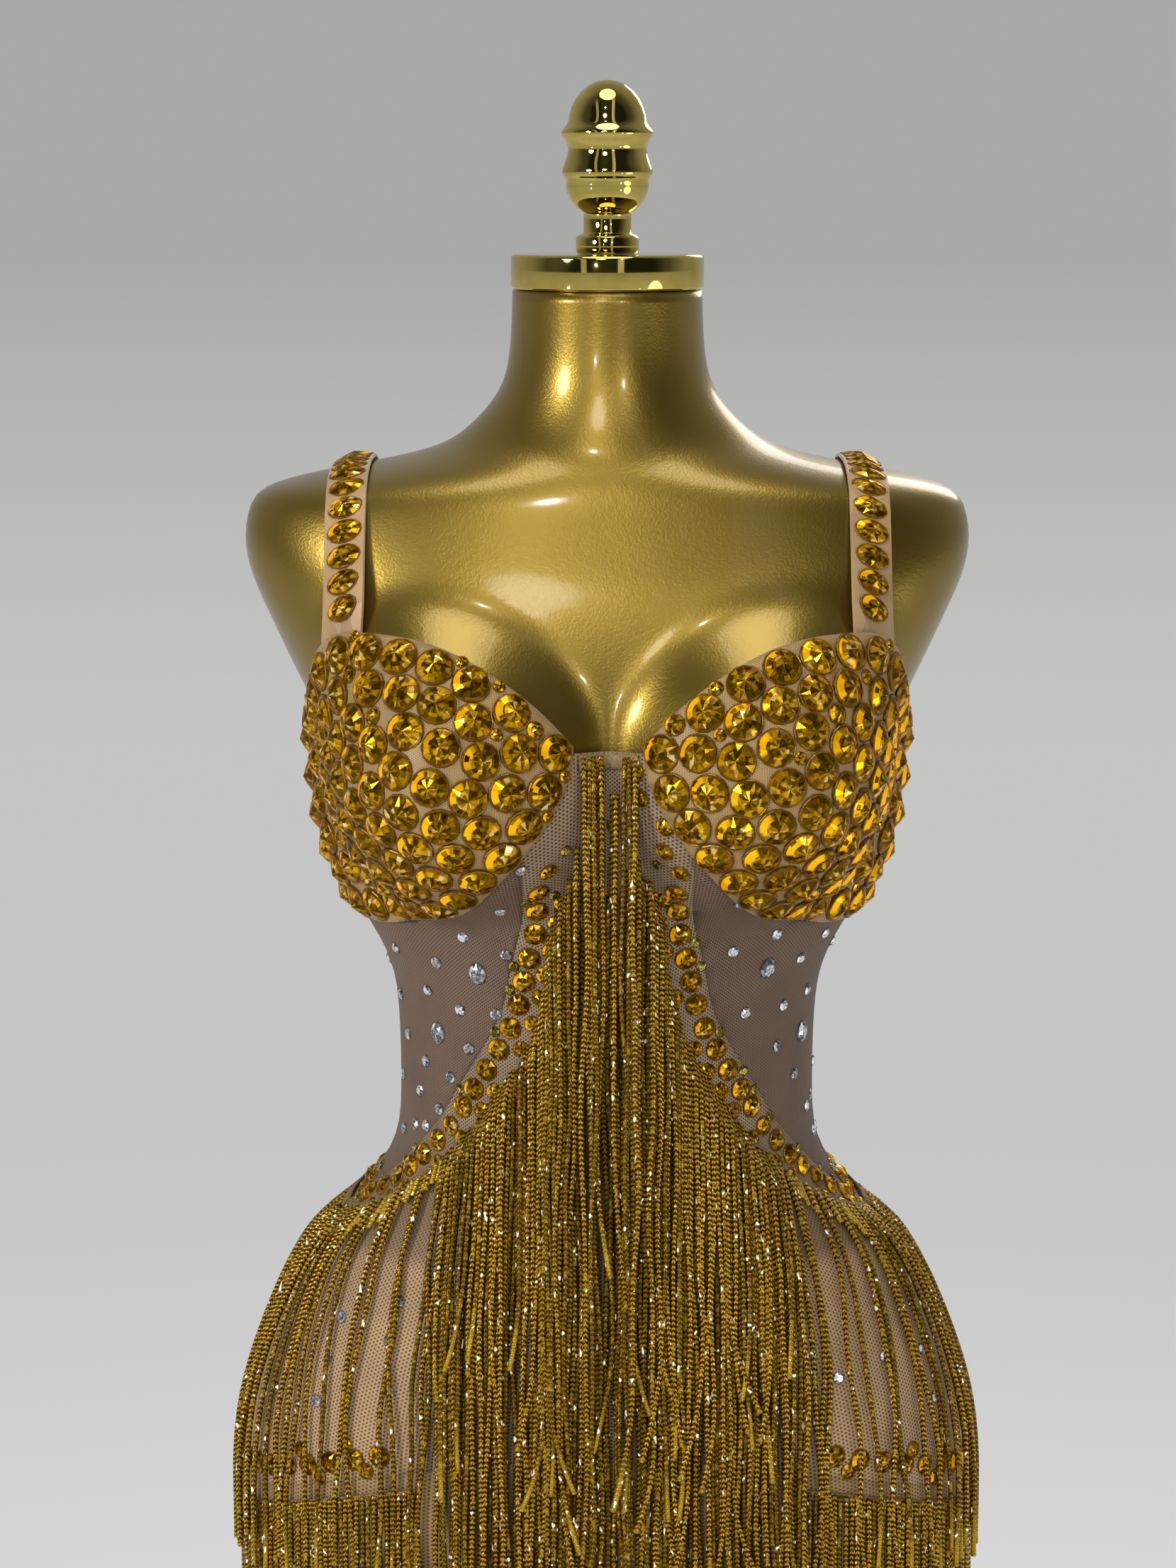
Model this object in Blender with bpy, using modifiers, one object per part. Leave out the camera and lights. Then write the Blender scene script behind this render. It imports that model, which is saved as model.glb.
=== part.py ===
"""A bodycon stage dress, set with stones and hung with fringe, on a limbless dress form.

Metres, Z up. The front faces -Y, and the wearer's left is at +X. The origin is the
middle of the stand's underside.

A place on the cloth is written flat, as on a paper pattern: first the way round from
the centre front towards +X, at ROUND metres for each radian of turn, then the height
above the floor. skin() lifts a flat place onto the figure, at any distance out from it.
"""
import math

import bmesh
import bpy
import numpy as np
from mathutils import Vector
from mathutils.geometry import delaunay_2d_cdt

COLLECTION = "bodycon_dress_on_dress_form"

# ---------------------------------------------------------------- sizes

ROUND = 0.135            # metres of pattern for each radian round the figure
CLEAR = 0.0016           # the form to the cloth's inner face
CLOTH = 0.0012           # thickness of the mesh panels
CUP_CLEAR = 0.0020       # the form to a cup's inner face
CUP_WALL = 0.0026        # thickness of a moulded, covered cup
SEAM = 0.00036           # gap between the pieces at a seam
PANEL_STEP = 0.024       # size of the panels' facets
CUP_STEP = 0.013         # size of the facets inside the cups
FINE_STEP = 0.014        # size of the facets between the cups
CURVE_STEP = 0.015       # length of the edges' facets

BIG_STONE = 0.0180       # diameter of the stones on the cups
BIG_PITCH = 0.0200       # their spacing
BIG_RISE = 0.0058
EDGE_PITCH = 0.0102      # a cup's edge to the middle of its stones
LEAST_SPARE = 0.00025    # the least cloth round a stone
RELAX_TURNS = 60         # rounds of pushing the stones apart
LINE_STONE = 0.0120      # diameter of the stones on the seams
LINE_PITCH = 0.0128
LINE_RISE = 0.0030
LINE_INSET = 0.0078      # the seam to the middle of its stones
OVAL_STONE = (0.0176, 0.0126)   # strap stones, across and along the strap
OVAL_PITCH = 0.0142
OVAL_RISE = 0.0045

STRAP_EDGES = (0.1190, 0.1395)  # the strap's two edges, out from the middle
STRAP_PLAIN_BACK = 0.055        # the strap's last stretch at the back has no stones
STRAP_THICK = 0.0016
STRAP_CLEAR = 0.0018

STRAND = 0.0036          # width of a fringe strand
STRAND_DEPTH = 0.0024
UNDER_OFF = 0.0012       # the back of the lower tier's strands, out from the cloth
OVER_OFF = 0.0060        # the same for the strands that fall over stones and the lower tier
STRAND_BOW = 0.0018      # how far a strand's straight lengths may cut a corner
TAPE_HEIGHT = 0.0046     # the band that the strands hang from
TAPE_DEPTH = 0.0018
TAPE_OFF = 0.0008        # the band's back, out from the cloth
FIRST_FREE = 0.012       # below the band by this much a strand is free of the next
BELOW_STONES = LINE_INSET + LINE_STONE / 2 + TAPE_HEIGHT + 0.0030   # a seam to the foot of its band

HEM = 0.660
SIDE = 86.0              # turn of the side seams, in degrees
NECKLINE = 1.2570
FRINGE_TOP = 1.166       # over this the stone lines carry no fringe
NECK_TAPE = NECKLINE - 0.0075   # the foot of the band at the neckline
FORM_BOTTOM, NECK_TOP = 0.600, 1.476

# The form's level sections. Front and back are depths from the stand's axis, and
# squareness is the power of the superellipse: 2 is a plain ellipse.
FORM_SECTIONS = (
    # height, half_width, front, back, squareness
    (0.600, 0.157, 0.094, 0.094, 2.25),
    (0.660, 0.167, 0.098, 0.100, 2.25),
    (0.725, 0.178, 0.102, 0.107, 2.25),
    (0.790, 0.1855, 0.105, 0.114, 2.25),
    (0.845, 0.188, 0.107, 0.119, 2.25),
    (0.890, 0.184, 0.108, 0.121, 2.25),
    (0.928, 0.173, 0.106, 0.118, 2.25),
    (0.960, 0.1595, 0.102, 0.110, 2.2),
    (0.986, 0.143, 0.099, 0.102, 2.2),
    (1.010, 0.122, 0.096, 0.094, 2.2),
    (1.036, 0.108, 0.093, 0.087, 2.2),
    (1.066, 0.1050, 0.090, 0.081, 2.2),
    (1.100, 0.1055, 0.089, 0.079, 2.2),
    (1.132, 0.110, 0.091, 0.081, 2.2),
    (1.160, 0.124, 0.094, 0.086, 2.2),
    (1.187, 0.138, 0.097, 0.091, 2.2),
    (1.213, 0.145, 0.100, 0.096, 2.2),
    (1.238, 0.1475, 0.102, 0.100, 2.25),
    (1.262, 0.150, 0.102, 0.102, 2.3),
    (1.286, 0.160, 0.100, 0.102, 2.4),
    (1.310, 0.171, 0.096, 0.101, 2.5),
    (1.333, 0.181, 0.090, 0.097, 2.5),
    (1.352, 0.1845, 0.083, 0.092, 2.5),
    (1.367, 0.182, 0.077, 0.086, 2.45),
    (1.378, 0.170, 0.072, 0.080, 2.35),
    (1.387, 0.131, 0.067, 0.075, 2.2),
    (1.396, 0.091, 0.0615, 0.070, 2.1),
    (1.408, 0.070, 0.0565, 0.063, 2.0),
    (1.425, 0.0555, 0.0520, 0.055, 2.0),
    (1.446, 0.0495, 0.0490, 0.050, 2.0),
    (1.476, 0.0480, 0.0480, 0.0480, 2.0),
)
SECTION_STEPS = 100      # samples of the spline between two rows

# Where the form's facets lie: its rows by height, and half its columns by turn.
FORM_ROWS = (
    # start, stop, step
    (0.600, 0.890, 0.058), (0.890, 1.130, 0.024), (1.130, 1.340, 0.0175), (1.344, 1.410, 0.011),
    (1.417, 1.470, 0.020),
)
FORM_COLUMNS = (
    # start, stop, step in degrees
    (0, 64, 8), (64, 180, 14.5),
)
FORM_REACH = 0.93        # the form's bust against the cups', so that the cups stand clear

# The two smooth swellings under the cups.
BUST_TURN, BUST_HEIGHT = math.radians(31), 1.243
BUST_SWELL, BUST_SPREAD = 0.050, 0.009
BUST_LEAN, BUST_DROOP = math.radians(15), 0.06
BUST_SIDE, BUST_UP, BUST_DOWN = 0.084, 0.105, 0.085

# Seams and edges on the wearer's left; the right side mirrors them.
CUP_TOP = (
    # turn in degrees, height
    (8.5, 1.2600), (14, 1.2760), (21, 1.2910), (29, 1.3015), (38, 1.3055),
    (46.5, 1.3035), (60, 1.2840), (74, 1.2700), (SIDE, 1.2640),
)
CUP_INNER = ((8.5, NECKLINE), (10.5, 1.2400), (16.5, 1.2180))
CUP_UNDER = ((16.5, 1.2180), (22, 1.2030), (31, 1.1820), (45, 1.1680), (62, 1.1620), (SIDE, 1.1630))
STONE_LINE_INNER = (
    (16.5, 1.2180), (17.3, 1.1980), (18.8, 1.1700), (23.5, 1.1460), (27.5, 1.1250),
    (33.5, 1.1040), (42, 1.0810), (49, 1.0625),
)
STONE_LINE_OUTER = ((49, 1.0625), (57, 1.0480), (65, 1.0350), (73, 1.0220), (80, 1.0140), (SIDE, 1.0110))
CENTRE_SEAM = (
    (49, 1.0625), (45.5, 1.0550), (42, 1.0430), (39, 1.0230), (35.5, 0.9850), (31.5, 0.9330), (29, 0.8850),
)
BACK_LINE = ((SIDE, 1.0110), (102, 1.0150), (122, 1.0260), (150, 1.0420), (180, 1.0490))
BACK_TOP = ((SIDE, 1.2640), (105, 1.2600), (135, 1.2520), (180, 1.2420))
HIP_AT_SIDE, HIP_RISE_FRONT, HIP_RISE_BACK = 0.851, 0.045, 0.020

# ---------------------------------------------------------------- the figure


def spline(rows, steps):
    """A natural cubic spline through the rows of a table, sampled between them."""
    y = np.array(rows, float)
    count = len(y)
    matrix, right = np.eye(count), np.zeros_like(y)
    for i in range(1, count - 1):
        matrix[i, i - 1:i + 2] = (1, 4, 1)
        right[i] = 6 * (y[i - 1] - 2 * y[i] + y[i + 1])
    bend = np.linalg.solve(matrix, right)
    place = np.linspace(0, count - 1, (count - 1) * steps + 1)
    k = np.minimum(place.astype(int), count - 2)
    b = (place - k)[:, None]
    a = 1 - b
    return a * y[k] + b * y[k + 1] + ((a ** 3 - a) * bend[k] + (b ** 3 - b) * bend[k + 1]) / 6


SECTIONS = spline(FORM_SECTIONS, SECTION_STEPS)


def form_point(turn, height, reach=1.0):
    """Points of the figure that the cloth fits; a reach under 1 draws the bust in."""
    turn, height = np.broadcast_arrays(np.asarray(turn, float), np.asarray(height, float))
    width, front, back, power = (np.interp(height, SECTIONS[:, 0], SECTIONS[:, c]) for c in (1, 2, 3, 4))
    s, c = np.sin(turn), np.cos(turn)
    size = (np.abs(s) ** power + np.abs(c) ** power) ** (-1 / power)
    point = np.stack([width * s * size, -np.where(c > 0, front, back) * c * size, height], -1)
    for side in (-1, 1):
        across = (np.arctan2(s, c) - side * BUST_TURN) * ROUND / (BUST_SIDE * reach)
        above = height - BUST_HEIGHT
        up = above / (np.where(above > 0, BUST_UP, BUST_DOWN) * reach)
        far = np.clip(np.hypot(across, up), 1e-6, 1)
        swell = BUST_SWELL * np.cos(far * math.pi / 2) ** 2
        spread = BUST_SPREAD * np.sin(far * math.pi) ** 2 / far
        lean, face = side * BUST_LEAN, side * BUST_TURN
        point = point + swell[..., None] * np.array([math.sin(lean), -math.cos(lean), -BUST_DROOP])
        point = point + (spread * across)[..., None] * np.array([math.cos(face), math.sin(face), 0])
        point = point + (spread * up)[..., None] * np.array([0, 0, 1])
    return point


def skin(flat, out):
    """Flat places lifted onto the figure, at a distance out from the form."""
    flat = np.asarray(flat, float)
    turn, height, near = flat[..., 0] / ROUND, flat[..., 1], 2e-4
    around = form_point(turn + near, height) - form_point(turn - near, height)
    upward = form_point(turn, height + near) - form_point(turn, height - near)
    normal = np.cross(around, upward)
    normal /= np.linalg.norm(normal, axis=-1, keepdims=True)
    return form_point(turn, height) + normal * out


# ---------------------------------------------------------------- flat pattern


def flat(rows):
    """A table of turns in degrees and heights, as flat places."""
    return np.array([(math.radians(turn) * ROUND, height) for turn, height in rows])


def evenly(points, step):
    """A polyline's points at even spacing, near to step, with both ends kept."""
    length = np.concatenate([[0], np.cumsum(np.linalg.norm(np.diff(points, axis=0), axis=1))])
    at = np.linspace(0, length[-1], max(1, round(length[-1] / step)) + 1)
    return np.stack([np.interp(at, length, points[:, c]) for c in range(points.shape[1])], 1)


def curve(rows, step=CURVE_STEP):
    """A smooth edge through the rows of a table."""
    return evenly(spline(flat(rows), 20), step)


def mirrored(points):
    """The same edge on the other side, run the other way."""
    return (points * (-1, 1))[::-1]


def other_side(points):
    """The same places on the other side, in the same order."""
    return points * (-1, 1)


def hip_height(turn):
    """Height of the hip seam, which rises towards the middle of the front and back."""
    rise = np.where(np.cos(turn) > 0, HIP_RISE_FRONT, HIP_RISE_BACK)
    return HIP_AT_SIDE + rise * np.cos(turn) ** 2


def hip_seam(start, end, step=CURVE_STEP):
    """The hip seam between two turns in degrees."""
    turn = np.radians(np.linspace(start, end, 2 + round(abs(math.radians(end - start)) * ROUND / step)))
    return np.stack([turn * ROUND, hip_height(turn)], 1)


def level(start, end, height, step=CURVE_STEP):
    """A level edge between two turns in degrees."""
    return evenly(flat(((start, height), (end, height))), step)


def upright(turn, start, end, step=CURVE_STEP):
    """An upright edge at one turn in degrees, between two heights."""
    return evenly(flat(((turn, start), (turn, end))), step)


def outline(*edges):
    """One closed outline, anticlockwise, from edges that meet end to end."""
    points = []
    for edge in edges:
        for point in edge:
            if not points or np.linalg.norm(point - points[-1]) > 1e-5:
                points.append(point)
    if np.linalg.norm(points[0] - points[-1]) < 1e-5:
        points.pop()
    points = np.array(points)
    after = np.roll(points, -1, 0)
    area = (points[:, 0] * after[:, 1] - after[:, 0] * points[:, 1]).sum()
    return points if area > 0 else points[::-1]


def inset(loop, distance):
    """An anticlockwise outline moved in by a distance."""
    edge = np.roll(loop, -1, 0) - loop
    inward = np.stack([-edge[:, 1], edge[:, 0]], 1) / np.linalg.norm(edge, axis=1)[:, None]
    both = inward + np.roll(inward, 1, 0)
    both /= np.linalg.norm(both, axis=1)[:, None]
    return loop + both * (distance / np.clip((both * inward).sum(1), 0.4, 1))[:, None]


def section_facing(points):
    """The bearing that the form's level section faces at each point, leaving out the bust."""
    width, front, back = (np.interp(points[..., 2], SECTIONS[:, 0], SECTIONS[:, c]) for c in (1, 2, 3))
    depth = np.where(points[..., 1] < 0, front, back)
    return np.arctan2(points[..., 0] / width ** 2, -points[..., 1] / depth ** 2)


def slopes(lift, places, out):
    """How a lifted surface moves for each flat metre, across and up."""
    near = 1e-4
    return [(lift(places + step, out) - lift(places - step, out)) / (2 * near)
            for step in (np.array([near, 0]), np.array([0, near]))]


def flat_steps(lift, places, moves, out):
    """The flat steps that move lifted places by the given real distances."""
    across, up = slopes(lift, places, out)
    aa, bb, ab = (across ** 2).sum(-1), (up ** 2).sum(-1), (across * up).sum(-1)
    ma, mb = (moves * across).sum(-1), (moves * up).sum(-1)
    return np.stack([ma * bb - mb * ab, mb * aa - ma * ab], -1) / (aa * bb - ab ** 2)[..., None]


def beside(line, distance):
    """A line on the figure moved a real distance to its right-hand side."""
    along = np.gradient(skin(line, CLEAR), axis=0)
    along /= np.linalg.norm(along, axis=1)[:, None]
    across, up = slopes(skin, line, CLEAR)
    normal = np.cross(across, up)
    normal /= np.linalg.norm(normal, axis=1)[:, None]
    return line + flat_steps(skin, line, np.cross(along, normal) * distance, CLEAR)


def is_inside(points, loop):
    """Which points lie inside a closed outline."""
    x, y = points[:, None, 0], points[:, None, 1]
    ax, ay = loop[None, :, 0], loop[None, :, 1]
    bx, by = np.roll(ax, -1, 1), np.roll(ay, -1, 1)
    crosses = (ay > y) != (by > y)
    rise = np.where(crosses, by - ay, 1)
    return (crosses & (x < ax + (y - ay) * (bx - ax) / rise)).sum(1) % 2 == 1


def from_edge(points, loop):
    """Distance of each point from a closed outline."""
    start, run = loop[None], (np.roll(loop, -1, 0) - loop)[None]
    share = ((points[:, None] - start) * run).sum(-1) / (run ** 2).sum(-1)
    nearest = start + np.clip(share, 0, 1)[..., None] * run
    return np.linalg.norm(points[:, None] - nearest, axis=-1).min(1)


# ---------------------------------------------------------------- stones


def stone(place, across, along, rise, sides, tilt=0.0):
    """A raised stone: its flat place, its two diameters, its height and its outline."""
    return {"place": np.array(place, float), "size": (across / 2, along / 2), "rise": rise, "sides": sides,
            "tilt": tilt}


def stone_ring(item, lift, out):
    """The stone's outline as flat places, so that it is true to size once lifted."""
    across, up = slopes(lift, item["place"], out)
    across = across / np.linalg.norm(across)
    up = up - across * (up @ across)
    up = up / np.linalg.norm(up)
    angle = 2 * math.pi * (np.arange(item["sides"]) + 0.5) / item["sides"]
    wide, tall = item["size"][0] * np.cos(angle), item["size"][1] * np.sin(angle)
    lean = item["tilt"]
    moves = np.outer(wide * math.cos(lean) - tall * math.sin(lean), across)
    moves += np.outer(wide * math.sin(lean) + tall * math.cos(lean), up)
    return item["place"] + flat_steps(lift, np.tile(item["place"], (item["sides"], 1)), moves, out)


def spread_stones(loop, count, seed):
    """Places for stones all over a cup: thrown in, pushed apart, and thinned until they fit."""
    random = np.random.default_rng(seed)
    places = random.uniform(loop.min(0), loop.max(0), (count * 6, 2))
    places = places[is_inside(places, loop)][:count]
    out = CUP_CLEAR + CUP_WALL
    edge = skin(evenly(np.vstack([loop, loop[:1]]), 0.003), out)
    while True:
        for turn in range(RELAX_TURNS):
            points = skin(places, out)
            gap, edge_gap = points[:, None] - points[None], points[:, None] - edge[None]
            far = np.linalg.norm(gap, axis=-1) + np.eye(len(points))
            edge_far = np.linalg.norm(edge_gap, axis=-1)
            push = (gap * (np.clip(BIG_PITCH - far, 0, None) / far)[..., None]).sum(1)
            push += (edge_gap * (np.clip(EDGE_PITCH - edge_far, 0, None) / edge_far)[..., None]).sum(1)
            moved = places + 0.3 * flat_steps(skin, places, push, out)
            places = np.where(is_inside(moved, loop)[:, None], moved, places)
        spare = np.minimum(far.min(1) / 2, edge_far.min(1)) - BIG_STONE / 2
        if spare.min() > LEAST_SPARE:
            return places
        places = np.delete(places, spare.argmin(), 0)


# ---------------------------------------------------------------- mesh makers


def material(name, colour, roughness, metallic=0.0):
    """A plain finish."""
    made = bpy.data.materials.new(name)
    made.use_nodes = True
    shader = made.node_tree.nodes["Principled BSDF"]
    shader.inputs["Base Color"].default_value = (*colour, 1)
    shader.inputs["Roughness"].default_value = roughness
    shader.inputs["Metallic"].default_value = metallic
    return made


def add(name, mesh, finish):
    """A named object in the dress's collection."""
    made = bpy.data.objects.new(name, mesh)
    mesh.materials.append(finish)
    bpy.data.collections[COLLECTION].objects.link(made)
    return made


def add_solid(name, points, faces, finish):
    """A closed solid from its corners and faces, with its faces turned outwards."""
    mesh = bpy.data.meshes.new(name)
    build = bmesh.new()
    corners = [build.verts.new(point) for point in points]
    for face in faces:
        build.faces.new([corners[i] for i in face])
    bmesh.ops.recalc_face_normals(build, faces=build.faces)
    build.to_mesh(mesh)
    build.free()
    return add(name, mesh, finish)


def turned(name, profile, steps, finish):
    """A round piece: a profile of radii and heights, top to bottom, turned by a Screw modifier."""
    mesh = bpy.data.meshes.new(name)
    mesh.from_pydata([(radius, 0, height) for radius, height in profile],
                     [(i, i + 1) for i in range(len(profile) - 1)], [])
    made = add(name, mesh, finish)
    screw = made.modifiers.new("turned", "SCREW")
    screw.steps = screw.render_steps = steps
    screw.use_merge_vertices = True
    screw.merge_threshold = 0.0001
    screw.use_smooth_shade = True
    return made


def grid_places(loop, step, tape, fine_from):
    """Free places inside an outline, in staggered rows, with a row of their own under a tape.

    Above the height fine_from, where the figure is most curved, they lie closer.
    """
    if fine_from is not None:
        coarse, fine = grid_places(loop, step, tape, None), grid_places(loop, FINE_STEP, tape, None)
        return np.vstack([coarse[coarse[:, 1] < fine_from], fine[fine[:, 1] > fine_from + FINE_STEP / 2]])
    low, high = loop.min(0), loop.max(0)
    places = []
    for row, height in enumerate(np.arange(low[1], high[1] + step, step)):
        shift = step / 2 * (row % 2)
        half = math.ceil(max(abs(low[0]), abs(high[0])) / step) + 1
        places += [(column * step + shift, height) for column in range(-half, half + 1)]
    places = np.array(places)
    if tape is not None:
        apart = np.linalg.norm(places[:, None] - tape[None], axis=-1).min(1)
        places = np.vstack([places[apart > 0.6 * step], tape])
    places = places[is_inside(places, loop)]
    return places[from_edge(places, loop) > 0.42 * min(step, CURVE_STEP)]


def fill(loop, places, rings):
    """Triangles that fill an outline and keep the free places and the rings as corners."""
    corners = np.vstack([loop, places.reshape(-1, 2)] + rings)
    edges, start = [], len(loop) + len(places)
    for ring in rings:
        around = len(ring) - 1
        edges += [(start + k, start + (k + 1) % around) for k in range(around)]
        start += len(ring)
    made = delaunay_2d_cdt([Vector(corner) for corner in corners], edges, [list(range(len(loop)))], 1, 1e-7)
    if any(not source for source in made[3]):
        raise ValueError("two stones, or a stone and an edge, cross")
    source = [min(items) for items in made[3]]
    return corners, [[source[i] for i in face] for face in made[2]]


def wall(name, loop, finish, clear=CLEAR, thick=CLOTH, stones=(), lift=skin, step=PANEL_STEP,
         tape=None, fine_from=None):
    """A cloth wall over an outline: plain inside, and its outer face raised in stones."""
    loop = inset(loop, SEAM / 2)
    places = grid_places(loop, step, tape, fine_from)
    outer = clear + thick
    whole = [(item, stone_ring(item, lift, outer)) for item in stones]
    whole = [pair for pair in whole if is_inside(pair[1], loop).all() and from_edge(pair[1], loop).min() > SEAM]
    stones, rings = [pair[0] for pair in whole], [pair[1] for pair in whole]
    free = places
    for item in stones:
        reach = max(item["size"]) * 1.6 + 0.002
        free = free[np.linalg.norm(free - item["place"], axis=1) > reach]
    with_middles = [np.vstack([ring, item["place"]]) for ring, item in zip(rings, stones)]
    corners, faces = fill(loop, free, with_middles)
    height = np.zeros(len(corners))
    at = len(loop) + len(free)
    for item in stones:
        at += item["sides"] + 1
        height[at - 1] = item["rise"]
    points = [lift(corner, outer + extra) for corner, extra in zip(corners, height)]
    inner_corners, inner_faces = fill(loop, places, [])
    first = len(points)
    points += list(lift(inner_corners, clear))
    faces += [[first + i for i in reversed(face)] for face in inner_faces]
    for k in range(len(loop)):
        after = (k + 1) % len(loop)
        faces.append((k, first + k, first + after, after))
    return add_solid(name, points, faces, finish)


# ---------------------------------------------------------------- fringe


def hang(roots, out, drop, samples=48):
    """Paths of threads that hang from flat places: down the steepest way, then plumb.

    Each path has the fall, the bearing, the distance from the axis and the way that the
    figure faces at every sample.
    """
    paths = []
    falls = np.linspace(0, 1, samples)[None, :] * np.asarray(drop)[:, None]
    turn, trail = roots[:, 0] / ROUND, []
    for k in range(samples):
        height = roots[:, 1] - falls[:, k]
        places = np.stack([turn * ROUND, height], 1)
        trail.append(skin(places, out))
        across, up = slopes(skin, places, out)
        down = falls[:, min(k + 1, samples - 1)] - falls[:, k]
        flat_up, flat_across = up[:, :2], across[:, :2] * ROUND
        turn = turn + (flat_up * flat_across).sum(1) / (flat_across ** 2).sum(1) * down
    trail = np.stack(trail, 1)
    reach = np.hypot(trail[..., 0], trail[..., 1])
    bearing = np.unwrap(np.arctan2(trail[..., 0], -trail[..., 1]), axis=1)
    facing = np.unwrap(section_facing(trail), axis=1)
    for fall, *state in zip(trail[:, :1, 2] - trail[..., 2], bearing, reach, facing):
        state = np.array(state)
        held, far, taut = 0, state[1], state.copy()
        while held < samples - 1:
            slope = (far[held + 1:] - far[held]) / (fall[held + 1:] - fall[held])
            if slope.max() <= 0:
                taut[:, held:] = state[:, held:held + 1]
                break
            touch = held + 1 + int(slope.argmax())
            share = np.linspace(0, 1, touch - held + 1)
            taut[:, held:touch + 1] = state[:, held:held + 1] + share * (state[:, touch] - state[:, held])[:, None]
            held = touch
        paths.append((fall, *taut))
    return paths


def halves(points, a, b, c, d):
    """A face of four corners as two triangles, split along its shorter diagonal."""
    if np.linalg.norm(points[a] - points[c]) < np.linalg.norm(points[b] - points[d]):
        return [(a, b, c), (a, c, d)]
    return [(a, b, d), (b, c, d)]


def bends(path):
    """The samples of a path that a strand of straight lengths has to bend at, to stay by it."""
    kept = [0]
    while kept[-1] < len(path) - 1:
        for end in range(len(path) - 1, kept[-1], -1):
            away, chord = path[kept[-1]:end] - path[kept[-1]], path[end] - path[kept[-1]]
            bow = away - np.outer(away @ chord / (chord @ chord), chord)
            if np.linalg.norm(bow, axis=1).max() < STRAND_BOW:
                break
        kept.append(end)
    return kept


def fringe(name, line, drops, finish, off, side=1):
    """Three-sided strands under a narrow band, all one piece. line is the band's foot."""
    cloth = CLEAR + CLOTH
    middle = (line[1:] + line[:-1]) / 2
    feet = skin(line, cloth + TAPE_OFF + TAPE_DEPTH)
    tops = skin(line + (0, TAPE_HEIGHT), cloth + TAPE_OFF + TAPE_DEPTH / 2)
    backs = skin(middle, cloth + TAPE_OFF)
    count = len(middle)
    points = [*tops, *feet, *backs]
    top, foot, back = 0, count + 1, 2 * (count + 1)
    faces = []
    for i in range(count):
        faces.append((top + i, foot + i, foot + i + 1, top + i + 1))
        faces.append((top + i, top + i + 1, back + i))
    for i in range(1, count):
        faces.append((top + i, back + i, back + i - 1))
        faces.append((foot + i, back + i - 1, back + i))
    faces.append((top, back, foot))
    faces.append((top + count, foot + count, back + count - 1))
    for i, (fall, way, far, facing) in enumerate(hang(middle, cloth, drops)):
        ring = [foot + i, foot + i + 1, back + i]
        below = backs[i][2] - min(feet[i][2], feet[i + 1][2]) + FIRST_FREE
        depths = np.linspace(below, drops[i], 40)
        way, far, facing = (np.interp(depths, fall, values) for values in (way, far, facing))
        outward = np.stack([np.sin(facing), -np.cos(facing), 0 * depths], 1)
        sideways = np.stack([np.cos(facing), np.sin(facing), 0 * depths], 1) * STRAND / 2
        path = np.stack([far * np.sin(way), -far * np.cos(way), backs[i][2] - depths], 1) + outward * off
        for k in bends(path):
            front = path[k] + outward[k] * STRAND_DEPTH
            first = len(points)
            points += [front - sideways[k], front + sideways[k], path[k]]
            for a in range(3):
                b = (a + 1) % 3
                faces += halves(points, ring[a], first + a, first + b, ring[b])
            ring = [first, first + 1, first + 2]
        faces.append(ring)
    return add_solid(name, np.array(points) * (side, 1, 1), faces, finish)


def roots(line, pitch):
    """The foot of a fringe band along a line, at an even spacing round the figure."""
    line = line[np.argsort(line[:, 0])]
    at = np.linspace(line[0, 0], line[-1, 0], 1 + round((line[-1, 0] - line[0, 0]) / pitch))
    return np.stack([at, np.interp(at, line[:, 0], line[:, 1])], 1)


def uneven(count, longest, spread, seed):
    """Lengths for strands, trimmed by hand and so not quite alike."""
    return longest - spread * np.random.default_rng(seed).random(count)


# ---------------------------------------------------------------- dress form and stand


def build_form(finish):
    """The limbless form: level sections lofted, with a flat foot and a flat neck."""
    rows = np.concatenate([np.arange(start, stop, step) for start, stop, step in FORM_ROWS] + [[NECK_TOP]])
    half = np.radians(np.concatenate([np.arange(start, stop, step) for start, stop, step in FORM_COLUMNS]))
    turns = np.concatenate([-half[:0:-1], half, [math.pi]])
    count = len(turns)
    points = form_point(turns[None, :], rows[:, None], FORM_REACH).reshape(-1, 3)
    faces = []
    for row in range(len(rows) - 1):
        for k in range(count):
            a, b = row * count + k, row * count + (k + 1) % count
            faces.append((a, b, b + count, a + count))
    faces.append(tuple(reversed(range(count))))
    faces.append(tuple(range((len(rows) - 1) * count, len(rows) * count)))
    return add_solid("form_torso", points, faces, finish)


CAP_RADIUS, CAP_FOOT, CAP_TOP = 0.0489, 1.4765, 1.4940
BASE_RADIUS, BASE_THICK, HUB_RADIUS, HUB_TOP = 0.215, 0.012, 0.030, 0.034
POLE_RADIUS, FLANGE_RADIUS, FLANGE_THICK = 0.016, 0.050, 0.010
TOUCH = 0.0003
FINIAL = (
    # radius, height over the cap, top to bottom
    (0.0000, 0.0860), (0.0072, 0.0845), (0.0138, 0.0802), (0.0185, 0.0738), (0.0204, 0.0670),
    (0.0210, 0.0635), (0.0233, 0.0600), (0.0222, 0.0565), (0.0193, 0.0500), (0.0212, 0.0435),
    (0.0230, 0.0400), (0.0204, 0.0365), (0.0176, 0.0270), (0.0125, 0.0215),
    (0.0125, 0.0105), (0.0160, 0.0085), (0.0160, 0.0000), (0.0000, 0.0000),
)


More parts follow.
